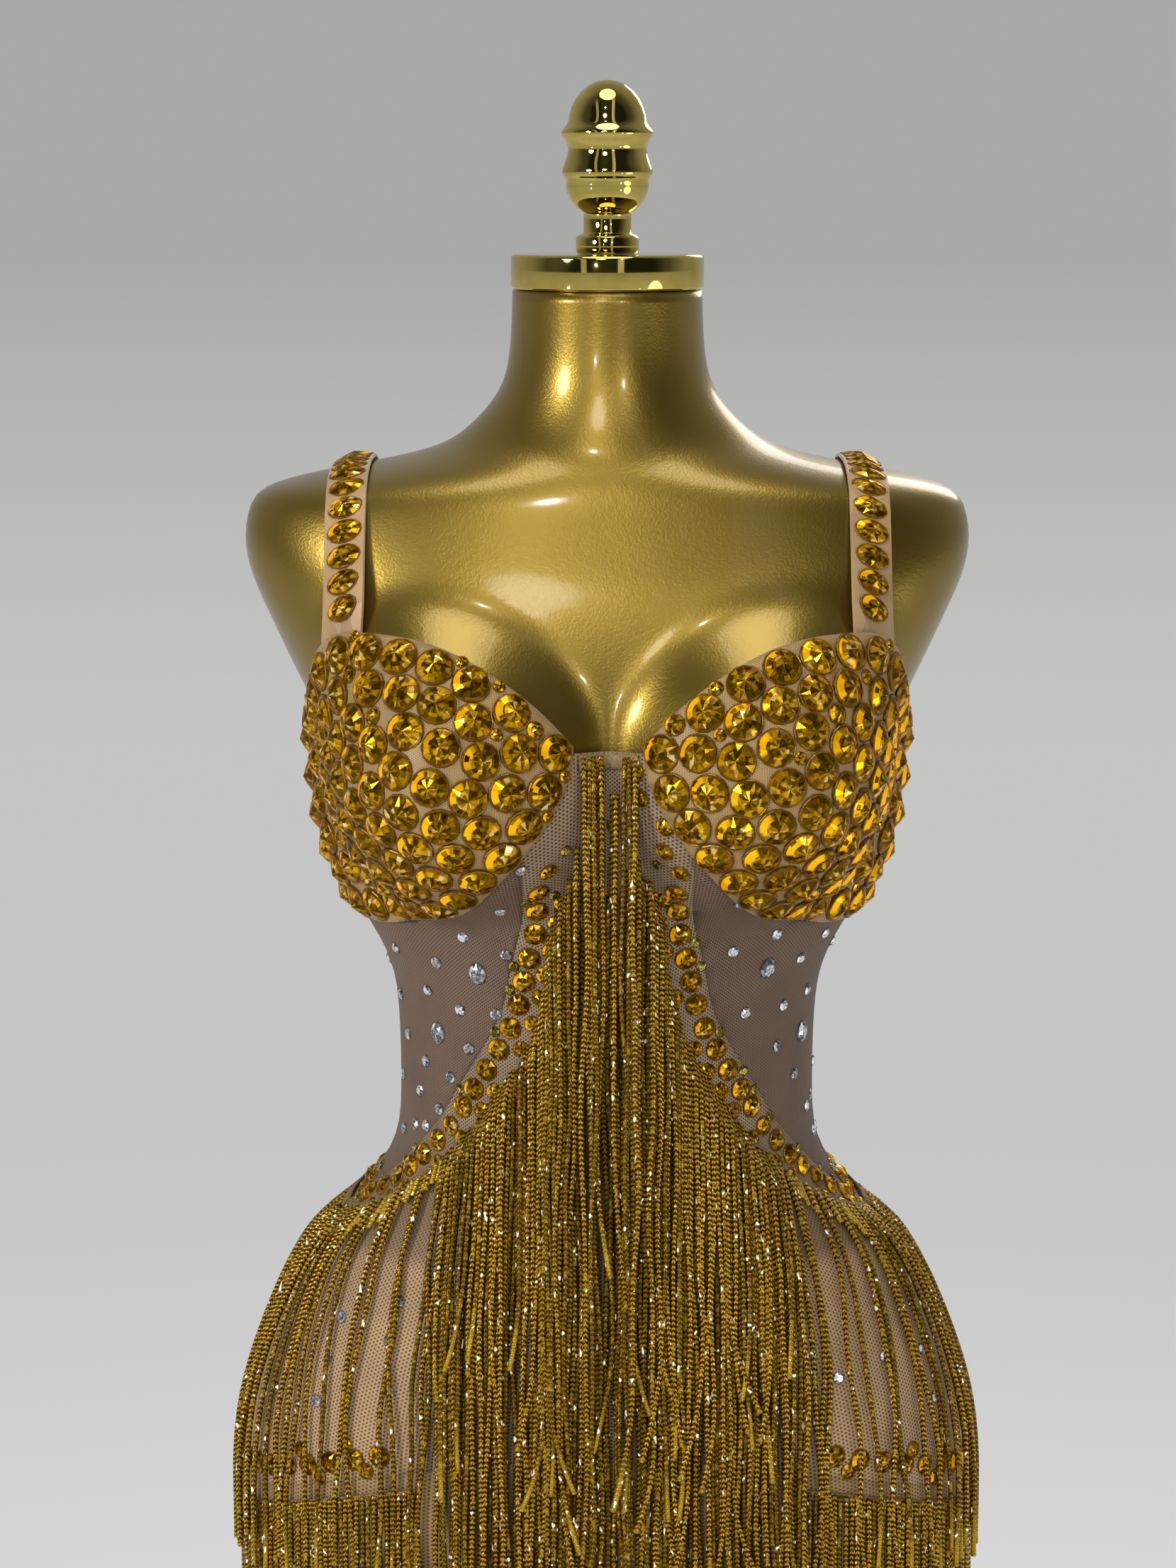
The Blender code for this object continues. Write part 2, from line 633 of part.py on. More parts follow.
def build_stand(gold, steel):
    """The neck cap with its turned finial, and the pole on its round base."""
    edge = 0.0012
    turned("neck_cap", ((0, CAP_TOP), (CAP_RADIUS - edge, CAP_TOP), (CAP_RADIUS, CAP_TOP - edge),
                        (CAP_RADIUS, CAP_FOOT + edge), (CAP_RADIUS - edge, CAP_FOOT), (0, CAP_FOOT)), 24, gold)
    lift = CAP_TOP + TOUCH
    turned("finial", [(radius, height + lift) for radius, height in FINIAL], 14, gold)
    foot, top = HUB_TOP + TOUCH, FORM_BOTTOM - TOUCH
    turned("pole", ((0, top), (FLANGE_RADIUS, top), (FLANGE_RADIUS, top - FLANGE_THICK),
                    (POLE_RADIUS, top - 1.6 * FLANGE_THICK), (POLE_RADIUS, foot), (0, foot)), 16, steel)
    turned("base", ((0, HUB_TOP), (HUB_RADIUS - 0.004, HUB_TOP), (HUB_RADIUS, HUB_TOP - 0.004),
                    (HUB_RADIUS, BASE_THICK + 0.004), (HUB_RADIUS + 0.010, BASE_THICK),
                    (BASE_RADIUS - 0.006, BASE_THICK - 0.002), (BASE_RADIUS, BASE_THICK - 0.006),
                    (BASE_RADIUS, 0), (0, 0)), 36, steel)


# ---------------------------------------------------------------- the dress


def taut_over(x, start, end):
    """The line of a ribbon pulled over the shoulder in the plane of one x: depth and height."""
    heights = np.arange(min(start, end), SECTIONS[-1, 0], 0.0008)
    sweep = np.radians(np.arange(2, 179, 1.0))
    points = skin(np.stack(np.meshgrid(sweep * ROUND, heights), -1), STRAP_CLEAR)
    crossing = []
    for row in points:
        side = row[:, 0] - x
        for k in np.nonzero(side[:-1] * side[1:] < 0)[0]:
            share = side[k] / (side[k] - side[k + 1])
            depth, height = (row[k] + share * (row[k + 1] - row[k]))[1:]
            if height > (start if depth < 0 else end):
                crossing.append((depth, height))
    crossing.sort()
    widest = crossing[-1]
    below = sorted((point for point in crossing if point[0] > 0 and point[1] < widest[1]), key=lambda point: -point[1])
    line = []
    for point in crossing + below:
        while len(line) > 1:
            (ay, az), (by, bz) = line[-2:]
            if (by - ay) * (point[1] - az) - (bz - az) * (point[0] - ay) < 0:
                break
            line.pop()
        line.append(point)
    return np.array([(x, depth, height) for depth, height in line])


def height_over(rows, out):
    """The height that just clears an edge of the dress, where the strap comes down to it."""
    rim = skin(curve(rows, 0.004), out)
    near = (rim[:, 0] > STRAP_EDGES[0] - 0.004) & (rim[:, 0] < STRAP_EDGES[1] + 0.004)
    return rim[near, 2].max() + 0.0005


def build_strap(name, side, finish):
    """A ribbon from the top of the cup over the shoulder to the back, set with oval stones."""
    sections = 48
    front, back = height_over(CUP_TOP, CUP_CLEAR + CUP_WALL), height_over(BACK_TOP, CLEAR + CLOTH)
    edges = []
    for x in STRAP_EDGES:
        line = taut_over(x, front, back)
        edges.append(evenly(line, np.linalg.norm(np.diff(line, axis=0), axis=1).sum() / sections))
    length = np.linalg.norm(np.diff(sum(edges) / 2, axis=0), axis=1).sum()
    width = STRAP_EDGES[1] - STRAP_EDGES[0]

    def lift(places, out):
        places = np.asarray(places, float)
        share, at = places[..., 0] / width + 0.5, places[..., 1] / length * sections

        def ruled(share, at):
            inner, outer = (np.stack([np.interp(at, np.arange(sections + 1), edge[:, c]) for c in range(3)], -1)
                            for edge in edges)
            return inner * (1 - share)[..., None] + outer * share[..., None]

        across = ruled(share + 0.01, at) - ruled(share - 0.01, at)
        along = ruled(share, np.clip(at + 0.7, 0, sections)) - ruled(share, np.clip(at - 0.7, 0, sections))
        normal = np.cross(across, along)
        point = ruled(share, at) + normal / np.linalg.norm(normal, axis=-1, keepdims=True) * out
        return point * (side, 1, 1)

    corners = np.array([(-width / 2, 0), (width / 2, 0), (width / 2, length), (-width / 2, length)])
    loop = outline(*(evenly(np.array([corners[k - 1], corners[k]]), 0.0145) for k in (1, 2, 3, 0)))
    set_length = length - STRAP_PLAIN_BACK
    count = int((set_length - 0.010) / OVAL_PITCH)
    stones = []
    for k in range(count):
        lean = math.radians(22) * max(0, 1 - k / 6)
        place = (0, 0.0095 + k * (set_length - 0.019) / (count - 1))
        stones.append(stone(place, *OVAL_STONE, OVAL_RISE, 8, lean))
    wall(name, loop, finish, 0, STRAP_THICK, stones, lift, 0.0145)


def stones_beside(line, seed, pitch=LINE_PITCH, inset_by=LINE_INSET):
    """A run of small stones along a seam, not quite in line."""
    random = np.random.default_rng(seed)
    lifted = skin(line, CLEAR)
    length = np.concatenate([[0], np.cumsum(np.linalg.norm(np.diff(lifted, axis=0), axis=1))])
    count = int((length[-1] - 0.004) / pitch)
    at = (length[-1] - (count - 1) * pitch) / 2 + pitch * np.arange(count)
    middle = beside(line, inset_by)
    places = np.stack([np.interp(at, length, middle[:, c]) for c in (0, 1)], 1)
    places += random.uniform(-0.0004, 0.0004, places.shape)
    return [stone(place, LINE_STONE, LINE_STONE, LINE_RISE, 6) for place in places]


def build_cups(finish):
    """The two cups, covered with large pointed stones."""
    loop = outline(curve(CUP_TOP), upright(SIDE, CUP_TOP[-1][1], CUP_UNDER[-1][1]),
                   curve(CUP_UNDER)[::-1], curve(CUP_INNER)[::-1])
    places = spread_stones(inset(loop, SEAM), 84, 7)
    for name, side in (("cup_left", 1), ("cup_right", -1)):
        own = outline(loop if side > 0 else other_side(loop))
        stones = [stone(place * (side, 1), BIG_STONE, BIG_STONE, BIG_RISE, 8) for place in places]
        wall(name, own, finish, CUP_CLEAR, CUP_WALL, stones, step=CUP_STEP)


def under_tape(line, step=0.012):
    """Places in the cloth along the foot of a tape."""
    return evenly(line, step)


def build_panels(centre, waist, hip, skirt):
    """The panels of the dress, from the neckline to the hem."""
    inner, outer = curve(STONE_LINE_INNER), curve(STONE_LINE_OUTER)
    tape = under_tape(beside(np.vstack([inner[1:], outer[1:]]), BELOW_STONES))
    seam, under, gore = curve(CENTRE_SEAM), curve(CUP_UNDER), curve(CUP_INNER)
    seam[-1, 1] = hip_height(seam[-1, 0] / ROUND)
    right_half = np.vstack([gore, inner, seam])
    neck = level(-8.5, 8.5, NECKLINE, 0.006)
    loop = outline(mirrored(right_half), neck, right_half, hip_seam(29, -29))
    edge_stones = stones_beside(inner[1:], 3)
    stones = edge_stones + [dict(item, place=other_side(item["place"])) for item in edge_stones]
    tapes = np.vstack([tape, other_side(tape), under_tape(level(-7, 7, NECK_TAPE), 0.006)])
    wall("front_centre", loop, centre, stones=stones, tape=tapes, fine_from=1.150)

    hip_row = beside(hip_seam(31, SIDE - 1), -0.0105)
    hip_stones = stones_beside(hip_row, 5, 0.0150, 0)
    line_stones = stones_beside(outer, 4)
    for name, side in (("left", 1), ("right", -1)):
        def placed(points):
            return points if side > 0 else other_side(points)
        loop = outline(placed(under), placed(upright(SIDE, CUP_UNDER[-1][1], BACK_LINE[0][1])),
                       placed(outer)[::-1], placed(inner)[::-1])
        wall("waist_" + name, loop, waist)
        side_edge = upright(SIDE, BACK_LINE[0][1], float(hip_height(math.radians(SIDE))))
        loop = outline(placed(outer), placed(side_edge), placed(hip_seam(SIDE, 29)), placed(seam)[::-1])
        stones = [dict(item, place=placed(item["place"])) for item in line_stones + hip_stones]
        wall("hip_" + name, loop, hip, stones=stones, tape=placed(tape))

    seam_side = float(hip_height(math.radians(SIDE)))
    loop = outline(hip_seam(-SIDE, SIDE), upright(SIDE, seam_side, HEM, 0.03), level(SIDE, -SIDE, HEM),
                   upright(-SIDE, HEM, seam_side, 0.03))
    wall("skirt_front", loop, skirt, step=0.030)

    round_back = 360 - SIDE
    back_line = curve(BACK_LINE)
    back_top = curve(BACK_TOP)
    whole_turn = np.array([2 * math.pi * ROUND, 0])

    def both_halves(half_edge):
        return np.vstack([half_edge, (mirrored(half_edge) + whole_turn)[1:]])

    line, top = both_halves(back_line), both_halves(back_top)
    line_side, top_side = line[0, 1], top[0, 1]
    loop = outline(upright(SIDE, line_side, top_side), top, upright(round_back, top_side, line_side), line[::-1])
    wall("back_bodice", loop, waist, step=0.030)
    seam = hip_seam(round_back, SIDE)
    loop = outline(line, upright(round_back, line_side, seam_side), seam, upright(SIDE, seam_side, line_side))
    wall("hip_back", loop, hip, stones=stones_beside(line[1:-1], 6), tape=under_tape(beside(line, BELOW_STONES)))
    loop = outline(seam, upright(SIDE, seam_side, HEM, 0.03), level(SIDE, round_back, HEM),
                   upright(round_back, HEM, seam_side, 0.03))
    wall("skirt_back", loop, skirt, step=0.030)
    return inner, outer, line


def build_fringes(finish, inner, outer, back_line):
    """The fringe under the stone lines, at the centre front and under the hip seam."""
    line = beside(np.vstack([inner[1:], outer[1:]]), BELOW_STONES)
    line = line[(line[:, 0] < math.radians(SIDE - 0.5) * ROUND) & (line[:, 1] < FRINGE_TOP)]
    feet = roots(line, 0.0064)
    middle = (feet[1:] + feet[:-1]) / 2
    long_end, short_end, change = 0.640, 0.815, math.radians(30) * ROUND
    share = np.clip((middle[:, 0] - change) / 0.012, 0, 1)
    drops = middle[:, 1] - (long_end + (short_end - long_end) * share)
    drops -= uneven(len(drops), 0.012, 0.024, 8)
    fringe("fringe_left", feet, drops, finish, OVER_OFF)
    fringe("fringe_right", feet, drops, finish, OVER_OFF, -1)

    centre = level(-7.6, 7.6, NECK_TAPE, 0.0072)
    fringe("fringe_centre", centre, uneven(len(centre) - 1, 0.615, 0.02, 9), finish, OVER_OFF)

    line = beside(back_line, BELOW_STONES)
    line = line[(line[:, 0] > math.radians(SIDE + 0.5) * ROUND) & (line[:, 0] < math.radians(359.5 - SIDE) * ROUND)]
    feet = roots(line, 0.0112)
    drops = (feet[1:, 1] + feet[:-1, 1]) / 2 - 0.815 - uneven(len(feet) - 1, 0.012, 0.024, 10)
    fringe("fringe_back", feet, drops, finish, OVER_OFF)

    under_seam = 0.0125
    for name, start, end, pitch, seed in (("fringe_hip_left", 30, SIDE - 1, 0.0078, 11),
                                          ("fringe_hip_right", 1 - SIDE, -30, 0.0078, 12),
                                          ("fringe_hip_back", SIDE + 1, 359 - SIDE, 0.0135, 13)):
        feet = roots(hip_seam(start, end, 0.004) - (0, under_seam), pitch)
        drops = uneven(len(feet) - 1, 0.215, 0.024, seed)
        fringe(name, feet, drops, finish, UNDER_OFF)


def main():
    for old in list(bpy.data.objects):
        bpy.data.objects.remove(old, do_unlink=True)
    bpy.context.scene.collection.children.link(bpy.data.collections.new(COLLECTION))
    paint = material("gold_paint", (0.42, 0.27, 0.06), 0.32, 0.85)
    chrome = material("polished_gold", (0.85, 0.60, 0.22), 0.10, 1.0)
    satin = material("cup_cover_and_stones", (0.55, 0.33, 0.05), 0.30, 0.2)
    net = material("front_net", (0.33, 0.21, 0.12), 0.70)
    mauve = material("waist_mesh", (0.35, 0.22, 0.18), 0.65)
    nude = material("hip_mesh", (0.55, 0.35, 0.22), 0.65)
    lower = material("skirt_mesh", (0.40, 0.26, 0.13), 0.70)
    thread = material("metallic_thread", (0.55, 0.36, 0.05), 0.35, 0.6)
    build_form(paint)
    build_stand(chrome, chrome)
    build_cups(satin)
    build_strap("strap_left", 1, satin)
    build_strap("strap_right", -1, satin)
    lines = build_panels(net, mauve, nude, lower)
    build_fringes(thread, *lines)
    bpy.context.view_layer.update()


main()
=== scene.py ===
# %% [markdown]
# # A bodycon stage dress on a gold dress form
#
# The dress is a stretch body: two cups covered with pointed amber stones, a net front,
# fine mesh at the waist and hips, and braided metallic fringe that hangs from stone-set
# seams. The imported model gives the exact solids. This script puts finer pieces on them:
# smooth cloth, cut stones, and cords with a braid.
#
# First the frame is loaded.

# %% Load the frame
import math

import bmesh
import bpy
import numpy as np
from mathutils import Matrix, Vector


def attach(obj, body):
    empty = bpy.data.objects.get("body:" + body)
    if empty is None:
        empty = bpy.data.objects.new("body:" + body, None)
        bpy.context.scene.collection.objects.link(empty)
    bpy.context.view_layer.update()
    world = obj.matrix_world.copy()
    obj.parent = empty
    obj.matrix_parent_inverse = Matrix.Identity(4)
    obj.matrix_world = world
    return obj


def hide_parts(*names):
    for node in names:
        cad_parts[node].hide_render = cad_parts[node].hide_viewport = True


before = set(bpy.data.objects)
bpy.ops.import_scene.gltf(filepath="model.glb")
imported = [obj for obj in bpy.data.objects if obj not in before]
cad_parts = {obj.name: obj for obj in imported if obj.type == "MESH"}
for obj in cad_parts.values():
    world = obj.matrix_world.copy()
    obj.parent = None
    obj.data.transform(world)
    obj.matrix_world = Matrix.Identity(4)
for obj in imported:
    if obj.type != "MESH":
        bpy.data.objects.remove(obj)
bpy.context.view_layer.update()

print("nodes:", len(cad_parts))

# %% [markdown]
# ## The camera
#
# The camera stands where the picture was taken from: chest high, 1.8 m away, and tipped
# a little down. A long lens keeps the figure's proportions, and its length follows from
# the picture's height and the focal length, both in pixels.

# %% Camera
PHOTO_HEIGHT = 2212
FOCAL_PIXELS = 4923
SENSOR = 36.0
CAMERA_PLACE, CAMERA_DIP = (-0.00977, -1.781544, 1.535), 9.9553
camera_data = bpy.data.cameras.new("camera")
camera_data.sensor_width = SENSOR
camera_data.lens = FOCAL_PIXELS / PHOTO_HEIGHT * SENSOR
camera = bpy.data.objects.new("camera", camera_data)
camera.location = CAMERA_PLACE
camera.rotation_euler = (math.radians(90 - CAMERA_DIP), 0, 0)
bpy.context.scene.collection.objects.link(camera)
bpy.context.scene.camera = camera
bpy.context.scene.view_settings.view_transform = "Standard"
print("lens:", round(camera_data.lens, 1), "mm")

# %% [markdown]
# ## Finishes as expressions
#
# A material is a tree of nodes, and most of them only add or multiply. A small class
# wraps a node's output and turns Python's own signs into Math nodes, so that a finish
# reads like a formula. Every other node comes from one method, node().


# %% Wires: arithmetic on sockets
class Wire:
    """One output of a shader node. Arithmetic on it adds Math nodes."""

    def __init__(self, finish, socket):
        self.finish, self.socket = finish, socket

    def maths(self, operation, *values):
        return self.finish.maths_of(operation, *values)

    def __add__(self, other):
        return self.maths("ADD", self, other)

    def __radd__(self, other):
        return self.maths("ADD", other, self)

    def __sub__(self, other):
        return self.maths("SUBTRACT", self, other)

    def __rsub__(self, other):
        return self.maths("SUBTRACT", other, self)

    def __mul__(self, other):
        return self.maths("MULTIPLY", self, other)

    def __rmul__(self, other):
        return self.maths("MULTIPLY", other, self)

    def __truediv__(self, other):
        return self.maths("DIVIDE", self, other)

    def __pow__(self, other):
        return self.maths("POWER", self, other)

    def __abs__(self):
        return self.maths("ABSOLUTE", self)


print("a wire knows its finish and its socket")


# %% Recipes: a tree of nodes
class Recipe:
    """A node tree that is built from expressions."""

    def __init__(self, tree):
        self.tree = tree

    def node(self, kind, settings=None, inputs=None, output=0):
        made = self.tree.nodes.new(kind)
        for key, value in (settings or {}).items():
            if key == "stops":
                stops = made.color_ramp.elements
                for k, (place, colour) in enumerate(value):
                    stop = stops[k] if k < 2 else stops.new(place)
                    stop.position, stop.color = place, (*colour, 1)
            else:
                setattr(made, key, value)
        for key, value in (inputs or {}).items():
            self.put(made.inputs[key], value)
        return Wire(self, made.outputs[output])

    def put(self, socket, value):
        if isinstance(value, Wire):
            self.tree.links.new(value.socket, socket)
        else:
            coloured = isinstance(value, tuple) and len(socket.default_value) == 4
            socket.default_value = (*value, 1) if coloured else value

    def maths_of(self, operation, *values):
        return self.node("ShaderNodeMath", {"operation": operation}, dict(enumerate(values)))

    def parts(self, vector):
        split = self.node("ShaderNodeSeparateXYZ", None, {0: vector}).socket.node
        return [Wire(self, out) for out in split.outputs]

    def noise(self, vector, scale, detail=2.0):
        sockets = {"Vector": vector, "Scale": scale, "Detail": detail}
        return self.node("ShaderNodeTexNoise", None, sockets)

    def ramp(self, factor, *stops):
        return self.node("ShaderNodeValToRGB", {"stops": stops}, {0: factor})

    def blend(self, factor, first, second):
        sockets = {0: factor, 6: first, 7: second}
        return self.node("ShaderNodeMix", {"data_type": "RGBA"}, sockets, 2)

    def smooth(self, value, low, high):
        return self.node("ShaderNodeMapRange", {"interpolation_type": "SMOOTHSTEP"},
                         {0: value, 1: low, 2: high})


print("a recipe makes every node by one method")


# %% Finishes: a Principled material
class Finish(Recipe):
    """A Principled material; what varies over the surface is fed to it."""

    def __init__(self, name, **fixed):
        self.material = bpy.data.materials.new(name)
        self.material.use_nodes = True
        super().__init__(self.material.node_tree)
        self.shader = self.tree.nodes["Principled BSDF"]
        self.feed(fixed)

    def feed(self, values):
        for key, value in values.items():
            self.put(self.shader.inputs[key.replace("_", " ")], value)

    def place(self):
        return self.node("ShaderNodeTexCoord", output="Object")

    def flat(self):
        return self.node("ShaderNodeUVMap", {"uv_map": "flat"})

    def bump(self, height, distance, strength=1.0):
        sockets = {"Height": height, "Distance": distance, "Strength": strength}
        self.feed({"Normal": self.node("ShaderNodeBump", None, sockets)})


print("finishes are written as expressions")

# %% [markdown]
# ## Floor, room and lamps
#
# The floor glows faintly and fades into the grey of the wall, which gives a plain studio
# ground. The room holds two bright upright strips, like tall soft boxes, that paint and
# polished metal mirror as long highlights. Five soft lamps give the broad sheen, the
# brightest from high on the left. Five small ones matter as much, because cut stones and
# metallic thread only sparkle when they mirror something small and bright.

# %% The floor
WALL_LIGHT = 0.40
WALL_GREY = (WALL_LIGHT, WALL_LIGHT, 0.985 * WALL_LIGHT)
FLOOR_REACH, FLOOR_DROP, FLOOR_FADE = 200, 0.0005, 0.3333
floor_finish = Finish("studio_floor", Roughness=0.9, Specular_IOR_Level=0.0, Emission_Strength=1.0)
east, north, _ = floor_finish.parts(floor_finish.place())
nearness = ((east * east + north * north) ** 0.5 * FLOOR_FADE + 1) ** -1.0
floor_finish.feed({
    "Base Color": floor_finish.ramp(nearness, (0.45, (0.0, 0.0, 0.0)), (0.80, (0.60, 0.60, 0.595))),
    "Emission Color": floor_finish.ramp(nearness, (0.05, WALL_GREY), (0.14, (0.475, 0.475, 0.465)),
                                        (0.28, (0.56, 0.56, 0.555)), (0.62, (0.565, 0.565, 0.565)),
                                        (0.80, (0.05, 0.05, 0.05))),
})
floor_mesh = bpy.data.meshes.new("floor")
floor_shape = bmesh.new()
bmesh.ops.create_circle(floor_shape, cap_ends=True, segments=64, radius=FLOOR_REACH)
floor_shape.to_mesh(floor_mesh)
floor_shape.free()
floor_mesh.materials.append(floor_finish.material)
floor = bpy.data.objects.new("floor", floor_mesh)
floor.location.z = -FLOOR_DROP
bpy.context.scene.collection.objects.link(floor)
print("floor reaches", FLOOR_REACH, "m")

# %% The room
WALL_STOPS = ((0.0, (0.05, 0.05, 0.05)), (0.40, (0.09, 0.09, 0.09)),
              (0.62, (0.30, 0.30, 0.298)), (0.85, WALL_GREY))
STRIP_STOPS = (
    (0.0, (0.16, 0.16, 0.155)), (0.16, (0.02, 0.02, 0.02)), (0.235, (0.02, 0.02, 0.02)),
    (0.245, (0.55, 0.53, 0.48)), (0.285, (0.55, 0.53, 0.48)), (0.295, (0.015, 0.015, 0.015)),
    (0.40, (0.05, 0.05, 0.05)), (0.60, (0.03, 0.03, 0.03)), (0.61, (0.75, 0.73, 0.68)),
    (0.66, (0.75, 0.73, 0.68)), (0.67, (0.02, 0.02, 0.02)), (0.85, (0.02, 0.02, 0.02)),
)
world = bpy.data.worlds.new("studio")
world.use_nodes = True
room = Recipe(world.node_tree)
across, depth, _ = room.parts(room.node("ShaderNodeTexCoord", output="Generated"))
wall = room.ramp(depth * 0.5 + 0.5, *WALL_STOPS)
strips = room.ramp(across * 0.5 + 0.5, *STRIP_STOPS)
room.put(world.node_tree.nodes["Background"].inputs["Color"],
         room.blend(room.smooth(depth, -0.55, -0.25), strips, wall))
bpy.context.scene.world = world
print("room has", len(STRIP_STOPS), "stops across it")

# %% Lamps
LAMP_AIM = Vector((0, 0, 1.1))
LAMPS = (
    # name, place, size, watts
    ("key", (-1.9, -1.65, 2.15), 0.60, 26),
    ("front", (-0.35, -2.5, 2.6), 0.55, 9.5),
    ("fill", (2.0, -1.2, 0.75), 0.9, 4.6),
    ("top", (0.0, -0.3, 3.0), 1.0, 10),
    ("back", (0.9, 2.0, 2.2), 1.0, 9),
    ("sparkle_a", (-0.55, -2.3, 1.75), 0.05, 3.6),
    ("sparkle_b", (0.65, -2.1, 2.05), 0.05, 3.6),
    ("sparkle_c", (-1.5, -1.4, 1.00), 0.07, 3.2),
    ("sparkle_d", (1.4, -1.7, 0.75), 0.07, 2.2),
    ("sparkle_e", (-0.15, -1.2, 2.6), 0.05, 2.4),
)
for name, place, size, watts in LAMPS:
    lamp_data = bpy.data.lights.new(name, "AREA")
    lamp_data.shape, lamp_data.size, lamp_data.energy = "DISK", size, watts
    lamp = bpy.data.objects.new(name, lamp_data)
    lamp.location = place
    lamp.rotation_euler = (LAMP_AIM - lamp.location).to_track_quat("-Z", "Y").to_euler()
    bpy.context.scene.collection.objects.link(lamp)
print("lamps:", len(LAMPS))

# %% [markdown]
# ## The figure under the cloth
#
# Everything sits on one surface, so the surface is a function. A table of level sections
# gives the trunk, and two smooth swellings give the bust. It could be sculpted, but then
# cloth, stones and cords would each have to be fitted to it by hand. A place on the cloth
# is written flat, as on a paper pattern, and skin() lifts it onto the figure. These are
# the same sizes as the solids have, so each piece lands where its node is.

# %% Sections of the figure
ROUND = 0.135
CLEAR, CLOTH = 0.0016, 0.0012
CUP_CLEAR, CUP_WALL = 0.0020, 0.0026
HEM, SIDE, NECKLINE = 0.660, 86.0, 1.2570
FORM_SECTIONS = (
    # height, half_width, front, back, squareness
    (0.600, 0.157, 0.094, 0.094, 2.25),
    (0.660, 0.167, 0.098, 0.100, 2.25),
    (0.725, 0.178, 0.102, 0.107, 2.25),
    (0.790, 0.1855, 0.105, 0.114, 2.25),
    (0.845, 0.188, 0.107, 0.119, 2.25),
    (0.890, 0.184, 0.108, 0.121, 2.25),
    (0.928, 0.173, 0.106, 0.118, 2.25),
    (0.960, 0.1595, 0.102, 0.110, 2.2),
    (0.986, 0.143, 0.099, 0.102, 2.2),
    (1.010, 0.122, 0.096, 0.094, 2.2),
    (1.036, 0.108, 0.093, 0.087, 2.2),
    (1.066, 0.1050, 0.090, 0.081, 2.2),
    (1.100, 0.1055, 0.089, 0.079, 2.2),
    (1.132, 0.110, 0.091, 0.081, 2.2),
    (1.160, 0.124, 0.094, 0.086, 2.2),
    (1.187, 0.138, 0.097, 0.091, 2.2),
    (1.213, 0.145, 0.100, 0.096, 2.2),
    (1.238, 0.1475, 0.102, 0.100, 2.25),
    (1.262, 0.150, 0.102, 0.102, 2.3),
    (1.286, 0.160, 0.100, 0.102, 2.4),
    (1.310, 0.171, 0.096, 0.101, 2.5),
    (1.333, 0.181, 0.090, 0.097, 2.5),
    (1.352, 0.1845, 0.083, 0.092, 2.5),
    (1.367, 0.182, 0.077, 0.086, 2.45),
    (1.378, 0.170, 0.072, 0.080, 2.35),
    (1.387, 0.131, 0.067, 0.075, 2.2),
    (1.396, 0.091, 0.0615, 0.070, 2.1),
    (1.408, 0.070, 0.0565, 0.063, 2.0),
    (1.425, 0.0555, 0.0520, 0.055, 2.0),
    (1.446, 0.0495, 0.0490, 0.050, 2.0),
    (1.476, 0.0480, 0.0480, 0.0480, 2.0),
)
BUST_TURN, BUST_HEIGHT = math.radians(31), 1.243
BUST_SWELL, BUST_SPREAD = 0.050, 0.009
BUST_LEAN, BUST_DROOP = math.radians(15), 0.06
BUST_SIDE, BUST_UP, BUST_DOWN = 0.084, 0.105, 0.085


def spline(rows, steps):
    """A natural cubic spline through the rows of a table, sampled between them."""
    y = np.array(rows, float)
    count = len(y)
    matrix, right = np.eye(count), np.zeros_like(y)
    for i in range(1, count - 1):
        matrix[i, i - 1:i + 2] = (1, 4, 1)
        right[i] = 6 * (y[i - 1] - 2 * y[i] + y[i + 1])
    bend = np.linalg.solve(matrix, right)
    place = np.linspace(0, count - 1, (count - 1) * steps + 1)
    k = np.minimum(place.astype(int), count - 2)
    b = (place - k)[:, None]
    a = 1 - b
    return a * y[k] + b * y[k + 1] + ((a ** 3 - a) * bend[k] + (b ** 3 - b) * bend[k + 1]) / 6


SECTIONS = spline(FORM_SECTIONS, 100)
print("sections:", len(FORM_SECTIONS))


# %% From flat pattern to figure
def form_point(turn, height, reach=1.0):
    """Points of the figure; a reach under 1 draws the bust in."""
    turn, height = np.broadcast_arrays(np.asarray(turn, float), np.asarray(height, float))
    width, front, back, power = (np.interp(height, SECTIONS[:, 0], column)
                                 for column in SECTIONS.T[1:])
    s, c = np.sin(turn), np.cos(turn)
    size = (np.abs(s) ** power + np.abs(c) ** power) ** (-1 / power)
    point = np.stack([width * s * size, -np.where(c > 0, front, back) * c * size, height], -1)
    for side in (-1, 1):
        across = (np.arctan2(s, c) - side * BUST_TURN) * ROUND / (BUST_SIDE * reach)
        above = height - BUST_HEIGHT
        up = above / (np.where(above > 0, BUST_UP, BUST_DOWN) * reach)
        far = np.clip(np.hypot(across, up), 1e-6, 1)
        swell = BUST_SWELL * np.cos(far * math.pi / 2) ** 2
        spread = BUST_SPREAD * np.sin(far * math.pi) ** 2 / far
        lean, face = side * BUST_LEAN, side * BUST_TURN
        point = point + swell[..., None] * np.array([math.sin(lean), -math.cos(lean), -BUST_DROOP])
        point = point + (spread * across)[..., None] * np.array([math.cos(face), math.sin(face), 0])
        point = point + (spread * up)[..., None] * np.array([0, 0, 1])
    return point


def facing(flat):
    """The outward direction of the figure at flat places."""
    turn, height, near = flat[..., 0] / ROUND, flat[..., 1], 2e-4
    around = form_point(turn + near, height) - form_point(turn - near, height)
    upward = form_point(turn, height + near) - form_point(turn, height - near)
    normal = np.cross(around, upward)
    return normal / np.linalg.norm(normal, axis=-1, keepdims=True)


